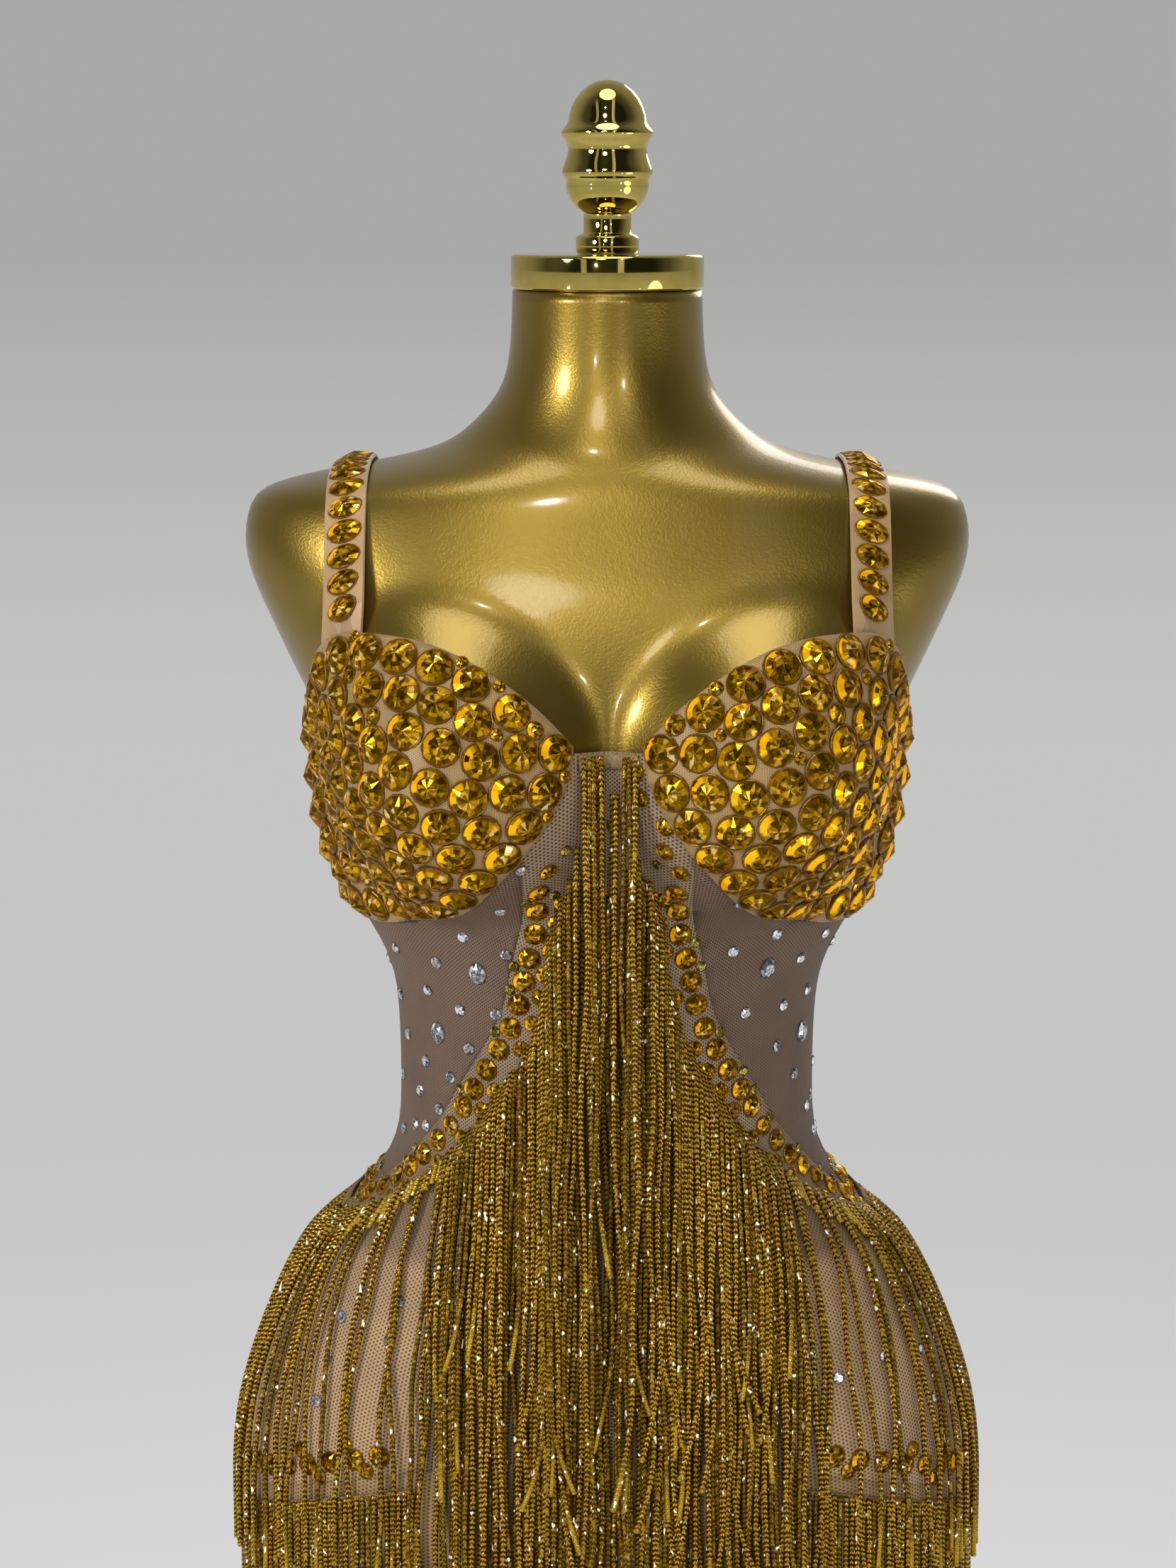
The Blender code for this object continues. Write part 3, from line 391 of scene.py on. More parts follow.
def skin(flat, out):
    """Flat places lifted onto the figure, at a distance out from the form."""
    flat = np.asarray(flat, float)
    return form_point(flat[..., 0] / ROUND, flat[..., 1]) + facing(flat) * out


print("half the waist's width:", round(float(form_point(math.pi / 2, 1.066)[0]), 4))


# %% Finishing a piece
def finished(name, shape, finish, smooth=True, nodes=()):
    """The object made from a bmesh, with its finish, its body and the nodes it stands for."""
    mesh = bpy.data.meshes.new(name)
    shape.to_mesh(mesh)
    shape.free()
    mesh.materials.append(finish.material)
    for face in mesh.polygons:
        face.use_smooth = smooth
    piece = bpy.data.objects.new(name, mesh)
    bpy.context.scene.collection.objects.link(piece)
    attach(piece, "root")
    if nodes:
        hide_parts(*nodes)
    print(name, "faces:", len(mesh.polygons))
    return piece


def lift(shape, points):
    """Puts a flat shape's corners at their points on the figure."""
    for vert, point in zip(shape.verts, points):
        vert.co = point
    bmesh.ops.recalc_face_normals(shape, faces=shape.faces)


def thicken(piece, thickness):
    wall = piece.modifiers.new("wall", "SOLIDIFY")
    wall.thickness, wall.offset = thickness, -1


print("every piece rides on the root body")

# %% [markdown]
# ## The dress form
#
# The form is moulded and sprayed gold. It is satin rather than polished: broad soft
# highlights with a fine orange-peel ripple from the spray. A spun profile would be round,
# and this trunk is wider than it is deep, so a grid is wrapped round the sections. Its
# rows are spaced by the length of the outline, so that the steep shoulder gets as many as
# the long hips.

# %% Gold spray paint
gold_paint = Finish("gold_paint", Metallic=0.90, Coat_Weight=0.34, Coat_Roughness=0.10)
place = gold_paint.place()
cloudy = gold_paint.noise(place, 7.0, 3.0)
gold_paint.feed({
    "Base Color": gold_paint.ramp(cloudy, (0.3, (0.235, 0.155, 0.023)),
                                  (0.7, (0.305, 0.207, 0.038))),
    "Roughness": 0.30 + cloudy * 0.08,
})
fine_peel, coarse_peel = gold_paint.noise(place, 850.0, 1.0), gold_paint.noise(place, 260.0, 1.0)
gold_paint.bump(fine_peel + coarse_peel * 0.6, 0.0003, 0.30)
print(gold_paint.material.name)

# %% The form
FORM_ROWS, FORM_COLUMNS, BUST_DRAWN_IN = 190, 150, 0.93
climb = np.linalg.norm(np.diff(SECTIONS[:, :2], axis=0), axis=1)
profile = np.concatenate([[0], np.cumsum(climb)])
row_heights = np.interp(np.linspace(0, profile[-1], FORM_ROWS + 1), profile, SECTIONS[:, 0])
shape = bmesh.new()
bmesh.ops.create_grid(shape, x_segments=FORM_COLUMNS, y_segments=FORM_ROWS, size=0.5)
places = np.array([vert.co[:2] for vert in shape.verts])
heights = np.interp((places[:, 1] + 0.5) * FORM_ROWS, np.arange(FORM_ROWS + 1), row_heights)
lifted = form_point(places[:, 0] * 2 * math.pi, heights, BUST_DRAWN_IN)
for vert, point in zip(shape.verts, lifted):
    vert.co = point
bmesh.ops.remove_doubles(shape, verts=shape.verts, dist=1e-5)
ends = [edge for edge in shape.edges if edge.is_boundary]
bmesh.ops.holes_fill(shape, edges=ends, sides=0)
bmesh.ops.recalc_face_normals(shape, faces=shape.faces)
finished("form", shape, gold_paint, nodes=["form_torso"])

# %% [markdown]
# ## Cap, finial, pole and base
#
# These are turned metal, so each is a profile spun round the stand's axis. A screw
# modifier could do it too, but a spun bmesh is closed at once and needs no clean-up.

# %% Polished gold
polished = Finish("polished_gold", Metallic=1.0)
wear = polished.noise(polished.place(), 60.0, 4.0)
polished.feed({
    "Base Color": polished.ramp(wear, (0.35, (0.51, 0.40, 0.095)), (0.7, (0.64, 0.51, 0.14))),
    "Roughness": 0.02 + wear * 0.05,
})
print(polished.material.name)


# %% Spinning a profile
def spun(name, profile, steps, nodes, bevel=0.0):
    """A round piece from a profile of radii and heights, top to bottom."""
    shape = bmesh.new()
    verts = [shape.verts.new((radius, 0, height)) for radius, height in profile]
    edges = [shape.edges.new(pair) for pair in zip(verts, verts[1:])]
    bmesh.ops.spin(shape, geom=verts + edges, axis=(0, 0, 1), cent=(0, 0, 0), angle=2 * math.pi,
                   steps=steps, use_merge=True)
    bmesh.ops.remove_doubles(shape, verts=shape.verts, dist=1e-5)
    bmesh.ops.recalc_face_normals(shape, faces=shape.faces)
    piece = finished(name, shape, polished, nodes=nodes)
    if bevel:
        rounding = piece.modifiers.new("rounding", "BEVEL")
        rounding.width, rounding.segments, rounding.limit_method = bevel, 2, "ANGLE"
    return piece


CAP_RADIUS, CAP_FOOT, CAP_TOP, CAP_EDGE = 0.0489, 1.4765, 1.4940, 0.0012
TOUCH = 0.0003
FINIAL = (
    # radius, height over the cap, in mm, top to bottom
    (0, 86.0), (5, 85.4), (9.6, 83.3), (13.4, 80.2), (16.3, 76.4), (18.3, 72.2), (19.4, 68.2),
    (19.8, 65.6), (20.3, 64.4), (21.6, 62.6), (22.9, 61.1), (23.3, 60.0), (23.0, 58.8),
    (21.8, 56.6), (20.6, 54.6), (19.9, 52.6), (19.9, 51.0), (20.6, 48.0), (21.6, 45.0),
    (22.6, 42.0), (22.9, 40.6), (22.7, 39.2), (21.8, 37.8), (20.9, 36.6), (20.9, 33.6),
    (20.4, 30.0), (19.0, 26.5), (16.6, 23.3), (14.0, 21.3), (12.3, 20.2), (12.1, 19.0),
    (12.1, 10.8), (12.9, 9.7), (15.1, 9.0), (16.0, 7.6), (16.0, 2.4), (15.6, 0.6), (15.0, 0),
    (0, 0),
)
CAP = ((0, CAP_TOP), (CAP_RADIUS - CAP_EDGE, CAP_TOP), (CAP_RADIUS, CAP_TOP - CAP_EDGE),
       (CAP_RADIUS, CAP_FOOT + CAP_EDGE), (CAP_RADIUS - CAP_EDGE, CAP_FOOT), (0, CAP_FOOT))
POLE = ((0, 0.5997), (0.050, 0.5997), (0.050, 0.5897), (0.016, 0.5837), (0.016, 0.0343),
        (0, 0.0343))
BASE = ((0, 0.034), (0.026, 0.034), (0.030, 0.030), (0.030, 0.016), (0.040, 0.012), (0.209, 0.010),
        (0.215, 0.006), (0.215, 0), (0, 0))
MILLIMETRE = 0.001
knob = [(radius * MILLIMETRE, height * MILLIMETRE + CAP_TOP + TOUCH) for radius, height in FINIAL]
spun("cap", CAP, 96, ["neck_cap"], 0.0005)
spun("finial_knob", knob, 64, ["finial"])
spun("stand_pole", POLE, 64, ["pole"], 0.0008)
spun("stand_base", BASE, 128, ["base"], 0.0010)

# %% [markdown]
# ## Cutting the cloth
#
# Each panel starts as a paper pattern: one flat face inside its seams. Straight cuts
# across it, both ways, divide it into small squares, and every corner is then lifted onto
# the figure. A grid shrinkwrapped to the form would miss the seams, and here they meet
# exactly. The flat place stays on the cloth as its UV map, so weaves keep their size.

# %% Edges of the pattern
CUP_TOP_EDGE = (
    # turn in degrees, height
    (8.5, 1.2600), (14, 1.2760), (21, 1.2910), (29, 1.3015), (38, 1.3055),
    (46.5, 1.3035), (60, 1.2840), (74, 1.2700), (SIDE, 1.2640),
)
CUP_INNER = ((8.5, NECKLINE), (10.5, 1.2400), (16.5, 1.2180))
CUP_UNDER = ((16.5, 1.2180), (22, 1.2030), (31, 1.1820), (45, 1.1680), (62, 1.1620), (SIDE, 1.1630))
STONE_LINE_INNER = (
    (16.5, 1.2180), (17.3, 1.1980), (18.8, 1.1700), (23.5, 1.1460), (27.5, 1.1250),
    (33.5, 1.1040), (42, 1.0810), (49, 1.0625),
)
STONE_LINE_OUTER = (
    (49, 1.0625), (57, 1.0480), (65, 1.0350), (73, 1.0220), (80, 1.0140), (SIDE, 1.0110),
)
CENTRE_SEAM = (
    (49, 1.0625), (45.5, 1.0550), (42, 1.0430), (39, 1.0230), (35.5, 0.9850), (31.5, 0.9330),
    (29, 0.8850),
)
BACK_LINE = ((SIDE, 1.0110), (102, 1.0150), (122, 1.0260), (150, 1.0420), (180, 1.0490))
BACK_TOP = ((SIDE, 1.2640), (105, 1.2600), (135, 1.2520), (180, 1.2420))
HIP_AT_SIDE, HIP_RISE_FRONT, HIP_RISE_BACK = 0.851, 0.045, 0.020
print("side seam:", SIDE, "degrees from the front")


# %% Curves on the pattern
def flat(rows):
    """A table of turns in degrees and heights, as flat places."""
    return np.array([(math.radians(turn) * ROUND, height) for turn, height in rows])


def evenly(points, step):
    """A polyline's points at even spacing, near to step, with both ends kept."""
    length = np.concatenate([[0], np.cumsum(np.linalg.norm(np.diff(points, axis=0), axis=1))])
    at = np.linspace(0, length[-1], max(1, round(length[-1] / step)) + 1)
    return np.stack([np.interp(at, length, points[:, c]) for c in range(points.shape[1])], 1)


def curve(rows, step=0.004):
    return evenly(spline(flat(rows), 20), step)


def straight(start, end, step=0.004):
    return evenly(flat((start, end)), step)


def other_side(points):
    return points * (-1, 1)


def hip_seam(start, end, step=0.004):
    length = abs(math.radians(end - start)) * ROUND
    turn = np.radians(np.linspace(start, end, 2 + round(length / step)))
    rise = np.where(np.cos(turn) > 0, HIP_RISE_FRONT, HIP_RISE_BACK)
    return np.stack([turn * ROUND, HIP_AT_SIDE + rise * np.cos(turn) ** 2], 1)


def outline(*edges):
    """One closed outline, anticlockwise, from edges that meet end to end."""
    points = []
    for edge in edges:
        for point in edge:
            if not points or np.linalg.norm(point - points[-1]) > 1e-4:
                points.append(point)
    if np.linalg.norm(points[0] - points[-1]) < 1e-4:
        points.pop()
    points = np.array(points)
    after = np.roll(points, -1, 0)
    area = (points[:, 0] * after[:, 1] - after[:, 0] * points[:, 1]).sum()
    return points if area > 0 else points[::-1]


print("pattern edges are ready")


# %% Cutting one panel
WALL, SAME = 0.0009, 1e-6


def panel(name, loop, finish, node, slot, clear=CLEAR, thick=CLOTH, step=0.007, crease=None):
    """A cloth panel: its flat face cut small, lifted onto the figure and given a thickness."""
    shape = bmesh.new()
    shape.faces.new([shape.verts.new((x, y, 0)) for x, y in loop])
    for axis in (0, 1):
        low, high = loop[:, axis].min(), loop[:, axis].max()
        for at in np.arange(low + step / 2, high, step):
            place, across = [0, 0, 0], [0, 0, 0]
            place[axis], across[axis] = at, 1
            everything = shape.verts[:] + shape.edges[:] + shape.faces[:]
            bmesh.ops.bisect_plane(shape, geom=everything, dist=SAME, plane_co=place,
                                   plane_no=across)
    if shape.faces[:][0].normal.z < 0:
        bmesh.ops.reverse_faces(shape, faces=shape.faces)
    layer = shape.loops.layers.uv.new("flat")
    for face in shape.faces:
        for corner in face.loops:
            corner[layer].uv = corner.vert.co.xy
    places = np.array([vert.co[:2] for vert in shape.verts])
    out = clear + thick + (crease(places) if crease else 0)
    lifted = skin(places, 0) + facing(places) * np.reshape(out, (-1, 1) if np.ndim(out) else ())
    lift(shape, lifted)
    outward = 0
    for face in shape.faces[:50]:
        middle = face.calc_center_median()
        outward += face.normal.dot(Vector((middle.x, middle.y, 0)))
    if outward < 0:
        bmesh.ops.reverse_faces(shape, faces=shape.faces)
    area = sum(face.calc_area() for face in shape.faces)
    piece = finished(name, shape, finish, nodes=[node])
    thicken(piece, min(thick, WALL))
    print(name, "area", round(area, 4))
    return piece, area


print("a panel's wall is", WALL, "m thick")

# %% [markdown]
# ## What the cloths are
#
# There are five cloths. The front is an open net with round holes that you can see into.
# The waist is a fine power mesh in a mauve nude, and the hips are a warmer nude. The
# cups are covered in a tan tricot with a satin face. The holes are far too many to cut
# into a mesh. All of the cloths are knitted, so one shaded lattice of round holes makes
# them, at its own pitch for each. The holes are painted with the form seen through them,
# darkened as painted shade.

# %% Knitted cloths
HEXAGON = ((1, 0), (0.5, 0.866), (-0.5, 0.866))
PATCH, SHADED, SHADE_EDGE = 0.78, 0.5, 0.012


def lattice(finish, pitch):
    """Holes in a hexagonal lattice: 1 in the middle of a hole and 0 on the threads."""
    across, up, _ = finish.parts(finish.flat())
    turn = 2 * math.pi / (pitch * math.sqrt(0.75))
    total = 0
    for c, s in HEXAGON:
        total = total + finish.maths_of("COSINE", (across * c + up * s) * turn)
    return finish.smooth(total, 0.0, 1.8)


def knitted(name, pitch, thread, hole, rough, sheen, above=None):
    """A mesh cloth: the spacing of its holes, its thread, what shows through them in painted
    shade, its gloss, and a height above which it is darker."""
    finish = Finish(name, Sheen_Weight=sheen, Sheen_Roughness=0.4)
    holes = lattice(finish, pitch)
    place = finish.place()
    cloudy = finish.noise(place, 24.0, 3.0)
    patchy = tuple(PATCH * c for c in thread)
    yarn = finish.blend(finish.smooth(cloudy, 0.35, 0.7), thread, patchy)
    if above:
        height = finish.parts(place)[2]
        darker = tuple(SHADED * c for c in thread)
        yarn = finish.blend(finish.smooth(height, above - SHADE_EDGE, above), yarn, darker)
    # The holes show the form behind the cloth, painted darker as painted shade.
    finish.feed({"Base Color": finish.blend(holes, yarn, hole), "Roughness": rough + holes * 0.15})
    finish.bump(1 - holes, 0.00025, 0.7)
    return finish


# Each cloth's second colour is painted into its holes: the form behind it, in painted shade.
net = knitted("front_net", 0.0018, (0.37, 0.255, 0.150), (0.050, 0.028, 0.013), 0.55, 0.1)
waist_mesh = knitted("waist_mesh", 0.0016, (0.205, 0.125, 0.078), (0.050, 0.028, 0.016), 0.62, 0.05)
hip_mesh = knitted("hip_mesh", 0.0020, (0.56, 0.36, 0.185), (0.125, 0.068, 0.030), 0.60, 0.08,
                   above=0.995)
skirt_mesh = knitted("skirt_mesh", 0.0020, (0.43, 0.275, 0.115), (0.13, 0.075, 0.025), 0.62, 0.08)
tricot = knitted("cup_cover", 0.0009, (0.46, 0.29, 0.115), (0.30, 0.180, 0.060), 0.42, 0.15)
print("cloths:", [cloth.material.name for cloth in (net, waist_mesh, hip_mesh, skirt_mesh, tricot)])

# %% [markdown]
# ## Tension in the cloth
#
# The dress is stretched over the form, so it has no folds, only faint lines of tension.
# They run from the side seams into the waist, and up from the hip seam. A simulation
# would need the whole dress to find them, and there are only a few, so each one is a soft
# trough with its own place, length, lean and depth.

# %% Tension lines
TENSION = (
    # turn in degrees, height, length, lean in degrees, depth, width
    (70, 1.092, 0.062, 12, 0.0006, 0.0050),
    (62, 1.071, 0.048, 22, 0.0005, 0.0042),
    (74, 1.058, 0.036, 28, 0.0006, 0.0040),
    (58, 1.132, 0.050, -14, 0.0004, 0.0050),
    (46, 1.150, 0.030, -24, 0.0004, 0.0040),
    (104, 1.075, 0.066, -10, 0.0007, 0.0052),
    (112, 1.050, 0.054, -20, 0.0006, 0.0046),
    (100, 1.118, 0.044, 8, 0.0004, 0.0050),
    (60, 0.905, 0.050, 66, 0.0005, 0.0060),
    (76, 0.935, 0.044, 74, 0.0005, 0.0052),
    (118, 0.940, 0.058, 100, 0.0006, 0.0060),
    (150, 0.990, 0.072, 84, 0.0007, 0.0070),
    (70, 0.770, 0.090, 84, 0.0006, 0.0080),
    (108, 0.745, 0.110, 95, 0.0007, 0.0085),
    (152, 0.760, 0.096, 88, 0.0006, 0.0090),
)


def tension(places):
    """How far the cloth stands out at flat places; the troughs go inwards, on both sides."""
    turned = np.mod(places[:, 0] / ROUND + math.pi, 2 * math.pi) - math.pi
    mirrored = np.stack([np.abs(turned) * ROUND, places[:, 1]], 1)
    out = np.zeros(len(places))
    for turn, height, length, lean, depth, width in TENSION:
        away = mirrored - (math.radians(turn) * ROUND, height)
        c, s = math.cos(math.radians(lean)), math.sin(math.radians(lean))
        along, across = away @ (c, s), away @ (-s, c)
        share = np.clip(1 - (2 * along / length) ** 2, 0, 1)
        out -= depth * share ** 2 * np.exp(-(across / width) ** 2)
    return out


print("tension lines:", len(TENSION), "on each side")


# %% Lines that the panels share
SEAM_LINE_FOOT = 29
inner_line, outer_line = curve(STONE_LINE_INNER), curve(STONE_LINE_OUTER)
seam_line, under_line, gore_line = curve(CENTRE_SEAM), curve(CUP_UNDER), curve(CUP_INNER)
seam_line[-1, 1] = hip_seam(SEAM_LINE_FOOT, SEAM_LINE_FOOT)[0, 1]
stone_seam = np.vstack([inner_line[1:], outer_line[1:]])
front_edge = np.vstack([gore_line, inner_line, seam_line])
side_top, side_waist = CUP_UNDER[-1][1], BACK_LINE[0][1]
side_hip, side_cup = float(hip_seam(SIDE, SIDE)[0, 1]), CUP_TOP_EDGE[-1][1]
whole_turn = np.array([2 * math.pi * ROUND, 0])
round_back = 360 - SIDE


def half(points, side):
    return points if side > 0 else other_side(points)


def both_halves(rows):
    edge = curve(rows)
    return np.vstack([edge, (other_side(edge)[::-1] + whole_turn)[1:]])


def cup_outline(side):
    return outline(half(curve(CUP_TOP_EDGE), side),
                   half(straight((SIDE, side_cup), (SIDE, side_top)), side),
                   half(under_line, side)[::-1], half(gore_line, side)[::-1])


back_line, back_top = both_halves(BACK_LINE), both_halves(BACK_TOP)
print("stone line on the pattern:", len(stone_seam), "points")


# %% Sewing a panel in
STRETCH, FILLS = 1.06, 0.82


def sewn(name, node, finish, slot, loop, **sizes):
    """A stretched panel with its lines of tension. Its cut, smaller than its place and filling most
    of its rectangle, is worked out but not used.
    """
    piece, area = panel(name, loop, finish, node, slot, crease=tension, **sizes)
    width, length = np.ptp(loop, axis=0)
    cut = area / STRETCH
    grown = math.sqrt(cut / (FILLS * width * length))


sewn("net_front", "front_centre", net, "front_net",
     outline(other_side(front_edge)[::-1], straight((-8.5, NECKLINE), (8.5, NECKLINE)), front_edge,
             hip_seam(SEAM_LINE_FOOT, -SEAM_LINE_FOOT)))

# %% Panels on the two sides
for side, word in ((1, "left"), (-1, "right")):
    sewn("waist_panel_" + word, "waist_" + word, waist_mesh, "waist_mesh",
         outline(half(under_line, side), half(straight((SIDE, side_top), (SIDE, side_waist)), side),
                 half(outer_line, side)[::-1], half(inner_line, side)[::-1]))
    sewn("hip_panel_" + word, "hip_" + word, hip_mesh, "hip_mesh",
         outline(half(outer_line, side), half(straight((SIDE, side_waist), (SIDE, side_hip)), side),
                 half(hip_seam(SIDE, SEAM_LINE_FOOT), side), half(seam_line, side)[::-1]))
    sewn("cup_cover_" + word, "cup_" + word, tricot, "cup_cover_and_stones", cup_outline(side),
         clear=CUP_CLEAR, thick=CUP_WALL, step=0.0055)

# %% Panels at the back, and the skirt
sewn("skirt_panel_front", "skirt_front", skirt_mesh, "skirt_mesh",
     outline(hip_seam(-SIDE, SIDE), straight((SIDE, side_hip), (SIDE, HEM)),
             straight((SIDE, HEM), (-SIDE, HEM)), straight((-SIDE, HEM), (-SIDE, side_hip))),
     step=0.010)
sewn("bodice_panel_back", "back_bodice", waist_mesh, "waist_mesh",
     outline(straight((SIDE, side_waist), (SIDE, BACK_TOP[0][1])), back_top,
             straight((round_back, BACK_TOP[0][1]), (round_back, side_waist)), back_line[::-1]),
     step=0.009)
back_hip_seam = hip_seam(round_back, SIDE)
sewn("hip_panel_back", "hip_back", hip_mesh, "hip_mesh",
     outline(back_line, straight((round_back, side_waist), (round_back, side_hip)), back_hip_seam,
             straight((SIDE, side_hip), (SIDE, side_waist))), step=0.009)
sewn("skirt_panel_back", "skirt_back", skirt_mesh, "skirt_mesh",
     outline(back_hip_seam, straight((SIDE, side_hip), (SIDE, HEM)),
             straight((SIDE, HEM), (round_back, HEM)),
             straight((round_back, HEM), (round_back, side_hip))), step=0.010)

# %% [markdown]
# ## Cut stones
#
# The stones are round, with a point in the middle. Glass like this has foil behind it,
# so each facet is a small mirror. Each facet is painted its own shade of amber, from near
# black to bright glints, as painted reflections. The middle looks dark, and a painted
# highlight, a bright crescent, lies on the side toward the key lamp; on amber it glows a
# little. One stone is modelled with a thin setting round it, and copies of it go where
# the solids rise to a stone.

# %% Amber glass and its setting
FACETS, RINGS, FAR = 14, 4.6, 97.0


def cut_glass(name, tones_and_reflections, painted_highlight, rim, metallic, glow=0.0, tint=(1.0, 1.0, 1.0)):
    """Foiled glass: mirrored facets show behind its own, in rings, each with its own painted shade
    of reflection, and a bright painted highlight lies toward the key lamp.
    """
    finish = Finish(name, Metallic=metallic, IOR=1.3, Specular_IOR_Level=0.25, Specular_Tint=tint,
                    Coat_Weight=0.15, Coat_Roughness=0.02, Coat_IOR=1.3, Emission_Strength=glow)
    facet, stone, _ = finish.parts(finish.node("ShaderNodeUVMap", {"uv_map": "facet"}))
    across, up, _ = finish.parts(finish.node("ShaderNodeUVMap", {"uv_map": "disc"}))
    reach = (across * across + up * up) ** 0.5
    ring = finish.maths_of("FLOOR", reach * RINGS + stone * 0.5)
    bearing = finish.maths_of("ARCTAN2", up, across) * (FACETS / (2 * math.pi))
    sector = finish.maths_of("FLOOR", bearing + ring * 0.5)
    numbers = finish.node("ShaderNodeCombineXYZ", None, {0: sector, 1: ring, 2: stone * FAR})
    cell = finish.node("ShaderNodeTexWhiteNoise", {"noise_dimensions": "3D"}, {"Vector": numbers})
    # Every facet and every cell in it gets its own shade from this ramp: the glass's tone and
    # painted reflections, up to bright painted glints.
    body = finish.ramp(facet * 0.45 + cell * 0.55, *tones_and_reflections)
    rimmed = finish.blend(finish.smooth(reach, 0.80, 0.88) * 0.7, body, rim)
    # The crescent is a painted highlight, on the side of each stone toward the key lamp, high on
    # the left.
    towards = (up * 0.5 - across * 0.85) / (reach + 0.001)
    arc = finish.smooth(reach, 0.54, 0.60) * (1 - finish.smooth(reach, 0.86, 0.90))
    arc = arc * finish.smooth(towards, 0.62, 0.80)
    arc = arc * finish.smooth(cell, 0.12, 0.24) * finish.smooth(stone, 0.15, 0.35)
    finish.feed({"Base Color": finish.blend(arc, rimmed, painted_highlight),
                 "Roughness": 0.05 + facet * 0.10})
    # Where glow is given, the painted highlight also glows, though the stone is no lamp.
    if glow:
        finish.feed({"Emission Color": finish.blend(arc, (0.0, 0.0, 0.0), painted_highlight)})
    return finish


# The first ramp of each glass is its tone with painted reflections; the colour after it is its
# painted highlight.
amber = cut_glass("amber_glass", (
    (0.00, (0.030, 0.018, 0.0003)), (0.34, (0.090, 0.046, 0.0006)), (0.54, (0.27, 0.125, 0.001)),
    (0.70, (0.56, 0.285, 0.002)), (0.84, (0.95, 0.52, 0.010)), (0.94, (1.00, 0.88, 0.50))),
    (1.0, 0.47, 0.004), (0.20, 0.075, 0.0008), 0.60, 0.38, tint=(1.0, 0.62, 0.12))
crystal = cut_glass("clear_glass", (
    (0.00, (0.02, 0.022, 0.028)), (0.35, (0.14, 0.15, 0.17)), (0.55, (0.40, 0.42, 0.46)),
    (0.78, (0.95, 0.97, 1.0))), (1.0, 1.0, 1.0), (0.06, 0.06, 0.065), 0.55, 0.25)
olive = cut_glass("olive_glass", (
    (0.00, (0.02, 0.016, 0.001)), (0.45, (0.10, 0.075, 0.006)), (0.70, (0.34, 0.25, 0.03)),
    (0.90, (0.90, 0.80, 0.40))), (0.75, 0.55, 0.10), (0.05, 0.036, 0.004), 0.50)
setting = Finish("stone_setting", Metallic=0.55, Roughness=0.35)
setting.feed({"Base Color": setting.ramp(setting.noise(setting.place(), 400.0, 2.0),
                                         (0.3, (0.13, 0.062, 0.004)), (0.7, (0.30, 0.165, 0.020)))})
print("glass and setting are ready")


# %% One stone of each kind
def cut_stone(name, facets, steps, point):
    """A stone of unit radius: rings of radius, height and twist, and then its point or flat top."""
    shape = bmesh.new()
    bmesh.ops.create_circle(shape, cap_ends=True, segments=facets, radius=1.0)
    top = shape.faces[:][0]
    if top.normal.z < 0:
        bmesh.ops.reverse_faces(shape, faces=[top])
    size, height, glass = 1.0, 0.0, []
    for radius, level, twist, is_glass in steps:
        top = bmesh.ops.extrude_discrete_faces(shape, faces=[top])["faces"][0]
        bmesh.ops.scale(shape, verts=top.verts, vec=(radius / size, radius / size, 1))
        bmesh.ops.translate(shape, verts=top.verts, vec=(0, 0, level - height))
        if twist:
            half_facet = Matrix.Rotation(math.pi / facets, 3, "Z")
            bmesh.ops.rotate(shape, verts=top.verts, cent=(0, 0, 0), matrix=half_facet)
        if is_glass:
            glass += [face for edge in top.edges for face in edge.link_faces if face != top]
        size, height = radius, level
    glass = bmesh.ops.triangulate(shape, faces=glass)["faces"] + [top]
    if point:
        glass.remove(top)
        glass += bmesh.ops.poke(shape, faces=[top], offset=point - height)["faces"]
    bmesh.ops.holes_fill(shape, edges=[edge for edge in shape.edges if edge.is_boundary], sides=0)
    bmesh.ops.recalc_face_normals(shape, faces=shape.faces)
    disc, shade = shape.loops.layers.uv.new("disc"), shape.loops.layers.uv.new("facet")
    for face in shape.faces:
        face.material_index = 0 if face in set(glass) else 1
        for corner in face.loops:
            corner[disc].uv = corner.vert.co.xy
    mesh = bpy.data.meshes.new(name)
    shape.to_mesh(mesh)
    shape.free()
    print(name, "faces:", len(mesh.polygons))
    return mesh


POINTED_STEPS = (
    # radius, height, twisted by half a facet, is glass
    (1.00, 0.15, False, False), (0.965, 0.20, False, False),
    (0.935, 0.18, False, False), (0.50, 0.45, True, True),
)
FLAT_STEPS = ((1.00, 0.08, False, False), (0.97, 0.16, False, True), (0.56, 0.48, True, True))
pointed = cut_stone("pointed_stone", FACETS, POINTED_STEPS, 0.66)
pointed_small = cut_stone("pointed_stone_small", 10, POINTED_STEPS, 0.60)
flat_back = cut_stone("flat_back_stone", 8, FLAT_STEPS, 0)


# %% Where the solids rise to a stone
def solid(node):
    """A merged copy of a solid's mesh."""
    shape = bmesh.new()
    shape.from_mesh(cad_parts[node].data)
    bmesh.ops.remove_doubles(shape, verts=shape.verts, dist=1e-5)
    return shape


def raised_stones(node, corners, low, high):
    """The stones raised in a node, of a reach between low and high: the middle, the way up
    and the longer way across."""
    shape, found = solid(node), []
    for vert in shape.verts:
        ring = np.array([edge.other_vert(vert).co for edge in vert.link_edges])
        if len(ring) != corners:
            continue
        middle = ring.mean(0)
        rise, reach = np.array(vert.co) - middle, np.linalg.norm(ring - middle, axis=1)
        height = np.linalg.norm(rise)
        if low < reach.min() and reach.max() < high and height > 0.35 * low:
            found.append((middle, rise / height, np.linalg.svd(ring - middle)[2][0]))
    shape.free()
    return found


